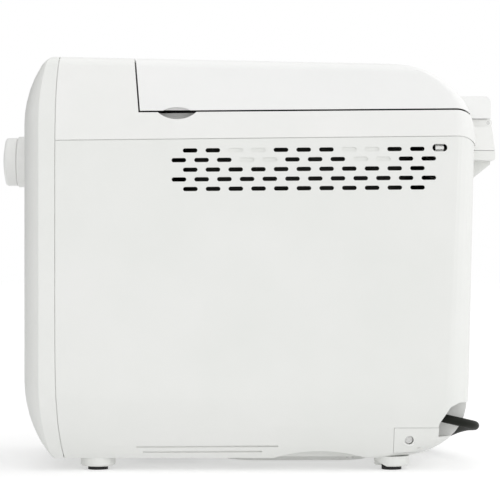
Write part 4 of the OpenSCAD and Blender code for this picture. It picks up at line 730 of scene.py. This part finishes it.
def loaf(x, y, size, width):
    """Outline of a loaf: two straight sides and a base under a wide low arch."""
    half = size / 2
    base = bar(x - half, y - half, x + half, y - half, width)
    sides = [bar(at, y - half, at, y, width) for at in (x - half, x + half)]
    return [base, *sides, arc(x, y, half, 0, 180, width)]


def upward(grids):
    """Turns over the sheets whose first quad faces down."""
    turned = []
    for grid in grids:
        down = np.cross(grid[1, 1] - grid[0, 0], grid[0, 1] - grid[1, 0])[2] > 0
        turned.append(grid[:, ::-1] if down else grid)
    return turned


KEY_SIGNS = {  # middle of the key, and the strokes of its sign about that middle
    "menu": (-81.5, [bar(-2, y, 2, y, 0.45) for y in (-1.5, 0, 1.5)]),
    "loaf": (-60.5, loaf(-1.8, -0.1, 2.4, 0.35) + loaf(1.7, 0.2, 3.6, 0.35)),
    "crust": (-39.5, [fan(-2.4, 0, 0.8, 24), arc(0, 0, 0.9, 0, 360, 0.35),
                      arc(2.5, 0, 0.9, 0, 360, 0.35), arc(2.5, 0, 0.4, 90, 270, 0.8)]),
    "timer": (39.5, [arc(0, 0, 2.2, 0, 360, 0.4), bar(0, 0, 0, 1.5, 0.35), bar(0, 0, 1.1, -0.5, 0.35)]),
    "start": (60.5, [fan(-0.2, 0, 2.2, 3)]),
    "stop": (81.5, [fan(0, 0, 2.1, 4, 45)]),
}


def make_key_signs():
    """Each key's sign is flat sheets in the plane of the key's top, a hair above it."""
    for key, (x, sheets) in KEY_SIGNS.items():
        grids = [on_top(sheet + (x, 0), KEY_TOP + PRINT_LIFT) for sheet in sheets]
        new_piece(f"sign_{key}", upward(grids), "mark_grey", f"{key}_key", closed=False)


WINDOW_HALF_X, WINDOW_HALF_Y, WINDOW_R = 24.5, 8.4, 1
DIGIT_STROKES = [  # ends of the seven segments of a digit one unit wide and two high
    (0.12, 2, 0.88, 2), (1, 1.88, 1, 1.12), (1, 0.88, 1, 0.12), (0.12, 0, 0.88, 0),
    (0, 0.12, 0, 0.88), (0, 1.12, 0, 1.88), (0.12, 1, 0.88, 1),
]
DIGITS_X = (-17.2, -8.2, 3.2, 12.2)
DIGITS_Y = -6.3
DIGIT_UNIT = 5
DIGIT_SLANT = 0.3
DIGIT_BAR = 0.9
COLON_X, COLON_YS, COLON_R = 0.1, (-3.4, 0.8), 0.55
CURSOR_Y, CURSOR_R = 6.4, 0.7
CURSORS_X = np.linspace(-20, 20, 9)


def rounded_sheet(half_x, half_y, corner, rows=17):
    """Sheet whose rows run across a rounded rectangle: the half width at height y is half_x less the
    corner's setback c - sqrt(c^2 - d^2), where d is how far y is past the corner's start."""
    rise = corner * (1 - np.cos(np.linspace(0, math.pi / 2, rows)))
    y = np.concatenate([rise - half_y, half_y - rise[::-1]])
    past = np.clip(np.abs(y) - (half_y - corner), 0, corner)
    half = half_x - corner + np.sqrt(corner**2 - past**2)
    return np.stack([np.column_stack([-half, y]), np.column_stack([half, y])], axis=1)


def make_display():
    """Pale window of the switched-off display, the faint unlit bars of four digits and a row of
    small cursor marks along its upper edge."""
    window = [on_top(rounded_sheet(WINDOW_HALF_X, WINDOW_HALF_Y, WINDOW_R), PRINT_LIFT)]
    new_piece("display_window", upward(window), "display_pale", "machine", closed=False)
    lean = np.array([[DIGIT_UNIT, 0], [DIGIT_SLANT, DIGIT_UNIT]])
    sheets = []
    for x in DIGITS_X:
        ends = np.array(DIGIT_STROKES).reshape(-1, 2, 2) @ lean + (x, DIGITS_Y)
        sheets += [bar(*stroke.ravel(), DIGIT_BAR) for stroke in ends]
    sheets += [fan(COLON_X, y, COLON_R, 12) for y in COLON_YS]
    sheets += [fan(x, CURSOR_Y, CURSOR_R, 3, -90) for x in CURSORS_X]
    grids = [on_top(sheet, 2 * PRINT_LIFT) for sheet in sheets]
    new_piece("display_bars", upward(grids), "display_bar", "machine", closed=False)


TURN_SIGN_R = 27
TURN_FROM, TURN_SPAN = 38, 44
TURN_STEPS = 50
TURN_STROKE_TO = 0.82
TURN_STROKE_HALF, TURN_BARB_HALF = 0.35, 1.3
AHEAD_OF_COVER_M = -0.3


def make_turn_signs():
    """Two arcs beside the dial, each ending in an arrow point: the half width along the arc is a thin
    stroke, then jumps to the barbs and falls straight to the tip. Each point is laid on the front
    cover along Y."""
    mesh = nodes["front_cover"].data
    points = np.empty(len(mesh.vertices) * 3)
    mesh.vertices.foreach_get("co", points)
    skin = BVHTree.FromPolygons(points.reshape(-1, 3).tolist(), [list(p.vertices) for p in mesh.polygons])
    u = np.linspace(0, 1, TURN_STEPS)
    barb = TURN_BARB_HALF * (1 - u) / (1 - TURN_STROKE_TO)
    half = np.where(u < TURN_STROKE_TO, TURN_STROKE_HALF, barb)
    reach = TURN_SIGN_R + half[:, None] * np.array([-1, 0, 1])
    grids = []
    for side in (-1, 1):
        angle = math.pi / 2 - side * np.radians(TURN_FROM + TURN_SPAN * u)[:, None]
        x = reach * np.cos(angle)
        z = DIAL_Z + reach * np.sin(angle)
        rays = [Vector((px * MM, AHEAD_OF_COVER_M, pz * MM)) for px, pz in zip(x.ravel(), z.ravel())]
        y = np.array([skin.ray_cast(ray, Vector((0, 1, 0)))[0].y / MM for ray in rays]).reshape(x.shape)
        grid = np.stack([x, y - PRINT_LIFT, z], axis=-1)
        grids.append(grid if side < 0 else grid[:, ::-1])
    new_piece("turn_signs", grids, "mark_grey", "machine", closed=False)


# ---- thumb recess of the lid ------------------------------------------------

RECESS_AT = (116.3, -52.3, 289.8)
RECESS_HALF_L, RECESS_HALF_H, RECESS_HALF_T = 17, 3.4, 0.5
RECESS_BOW = 1.2
RECESS_SQUARENESS = 6
RECESS_STEPS = 25


def make_grip_walls():
    """Back wall of the lid's thumb recess on each side: a thin closed wall whose middle bows inwards
    as 1 - y^2, with its sections swept from its front end to its rear end."""
    u = np.linspace(-1, 1, RECESS_STEPS)
    tall, thick = np.full(RECESS_STEPS, RECESS_HALF_H), np.full(RECESS_STEPS, RECESS_HALF_T)
    for side, which in ((-1, "left"), (1, "right")):
        x = side * (RECESS_AT[0] - RECESS_BOW * (1 - u * u))
        path = np.column_stack([x, RECESS_AT[1] + RECESS_HALF_L * u, np.full_like(u, RECESS_AT[2])])
        wall = swept(path, (0, 0, 1), tall, thick, RECESS_SQUARENESS, columns=24)
        # the walls wear the lid's lighter painted-light copy of the white plastic
        new_piece(f"grip_wall_{which}", [wall], "lid_plastic_painted_light", "lid")


make_key_signs()
make_display()
make_turn_signs()
make_grip_walls()


# ---- floor and light --------------------------------------------------------

FLOOR_HALF_M = 8.0
FLOOR_GREY = 0.66
FLOOR_GLOW = 0.29
FLOOR_SEEN = 0.13
SURROUND_BASE = 1.08
SURROUND_SIDE = 0.22
SURROUND_TOP = 0.05
BACK_RISE = 0.06
FRONT_FALL = 0.95


def make_stage():
    """Flat floor far larger than the view, pale and even: it gives off FLOOR_GLOW, and FLOOR_SEEN
    more where it is looked at, so that it runs into the white surround."""
    corners = [(x * FLOOR_HALF_M, y * FLOOR_HALF_M, 0) for x, y in ((-1, -1), (1, -1), (1, 1), (-1, 1))]
    mesh = bpy.data.meshes.new("floor")
    mesh.from_pydata(corners, [], [(0, 1, 2, 3)])
    floor = bpy.data.objects.new("floor", mesh)
    scene.collection.objects.link(floor)
    material, tree, shader = new_material("pale_floor")
    shader.inputs["Base Color"].default_value = (FLOOR_GREY, FLOOR_GREY, FLOOR_GREY, 1)
    shader.inputs["Roughness"].default_value = 0.9
    shader.inputs["Specular IOR Level"].default_value = 0.1
    shader.inputs["Emission Color"].default_value = (1, 1, 1, 1)
    seen = add(tree, "ShaderNodeLightPath")
    glow = add(tree, "ShaderNodeMath", operation="MULTIPLY_ADD")
    glow.inputs[1].default_value = FLOOR_SEEN
    glow.inputs[2].default_value = FLOOR_GLOW
    tree.links.new(seen.outputs["Is Camera Ray"], glow.inputs[0])
    tree.links.new(glow.outputs[0], shader.inputs["Emission Strength"])
    mesh.materials.append(material)


def area_light(name, place, aim, size, power):
    """Rectangular lamp that faces its aim."""
    data = bpy.data.lights.new(name, "AREA")
    data.shape = "RECTANGLE"
    data.size, data.size_y = size
    data.energy = power
    lamp = bpy.data.objects.new(name, data)
    lamp.location = place
    lamp.rotation_euler = (Vector(aim) - Vector(place)).to_track_quat("-Z", "Y").to_euler()
    scene.collection.objects.link(lamp)


def make_light():
    """Soft surround seen as plain white. Its light is SURROUND_BASE, plus SURROUND_SIDE times x and
    SURROUND_TOP times z of the direction, plus BACK_RISE times y towards the back, and less
    FRONT_FALL times -y towards the front. A broad lamp overhead gives the highlights."""
    world = bpy.data.worlds.new("soft_surround")
    world.use_nodes = True
    tree = world.node_tree
    link = tree.links.new
    place = add(tree, "ShaderNodeTexCoord")
    slope = add(tree, "ShaderNodeVectorMath", operation="DOT_PRODUCT")
    slope.inputs[1].default_value = (SURROUND_SIDE, 0, SURROUND_TOP)
    link(place.outputs["Generated"], slope.inputs[0])
    light = add(tree, "ShaderNodeMath", operation="ADD")
    light.inputs[1].default_value = SURROUND_BASE
    link(slope.outputs["Value"], light.inputs[0])
    parts = add(tree, "ShaderNodeSeparateXYZ")
    link(place.outputs["Generated"], parts.inputs[0])
    for kind, amount in (("MAXIMUM", BACK_RISE), ("MINIMUM", FRONT_FALL)):
        half = add(tree, "ShaderNodeMath", operation=kind)
        half.inputs[1].default_value = 0
        link(parts.outputs["Y"], half.inputs[0])
        total = add(tree, "ShaderNodeMath", operation="MULTIPLY_ADD")
        total.inputs[1].default_value = amount
        link(half.outputs[0], total.inputs[0])
        link(light.outputs[0], total.inputs[2])
        light = total
    seen = add(tree, "ShaderNodeLightPath")
    mix = add(tree, "ShaderNodeMix", data_type="FLOAT")
    link(seen.outputs["Is Camera Ray"], mix.inputs[0])
    link(light.outputs[0], mix.inputs[2])
    mix.inputs[3].default_value = 1.0
    link(mix.outputs[0], tree.nodes["Background"].inputs["Strength"])
    tree.nodes["Background"].inputs["Color"].default_value = (1, 1, 1, 1)
    scene.world = world
    area_light("overhead", place=(0.3, 0.3, 2.2), aim=(0, 0, 0.2), size=(1.6, 1.6), power=3)
    scene.view_settings.view_transform = "Standard"
    scene.view_settings.look = "None"


make_stage()
make_light()
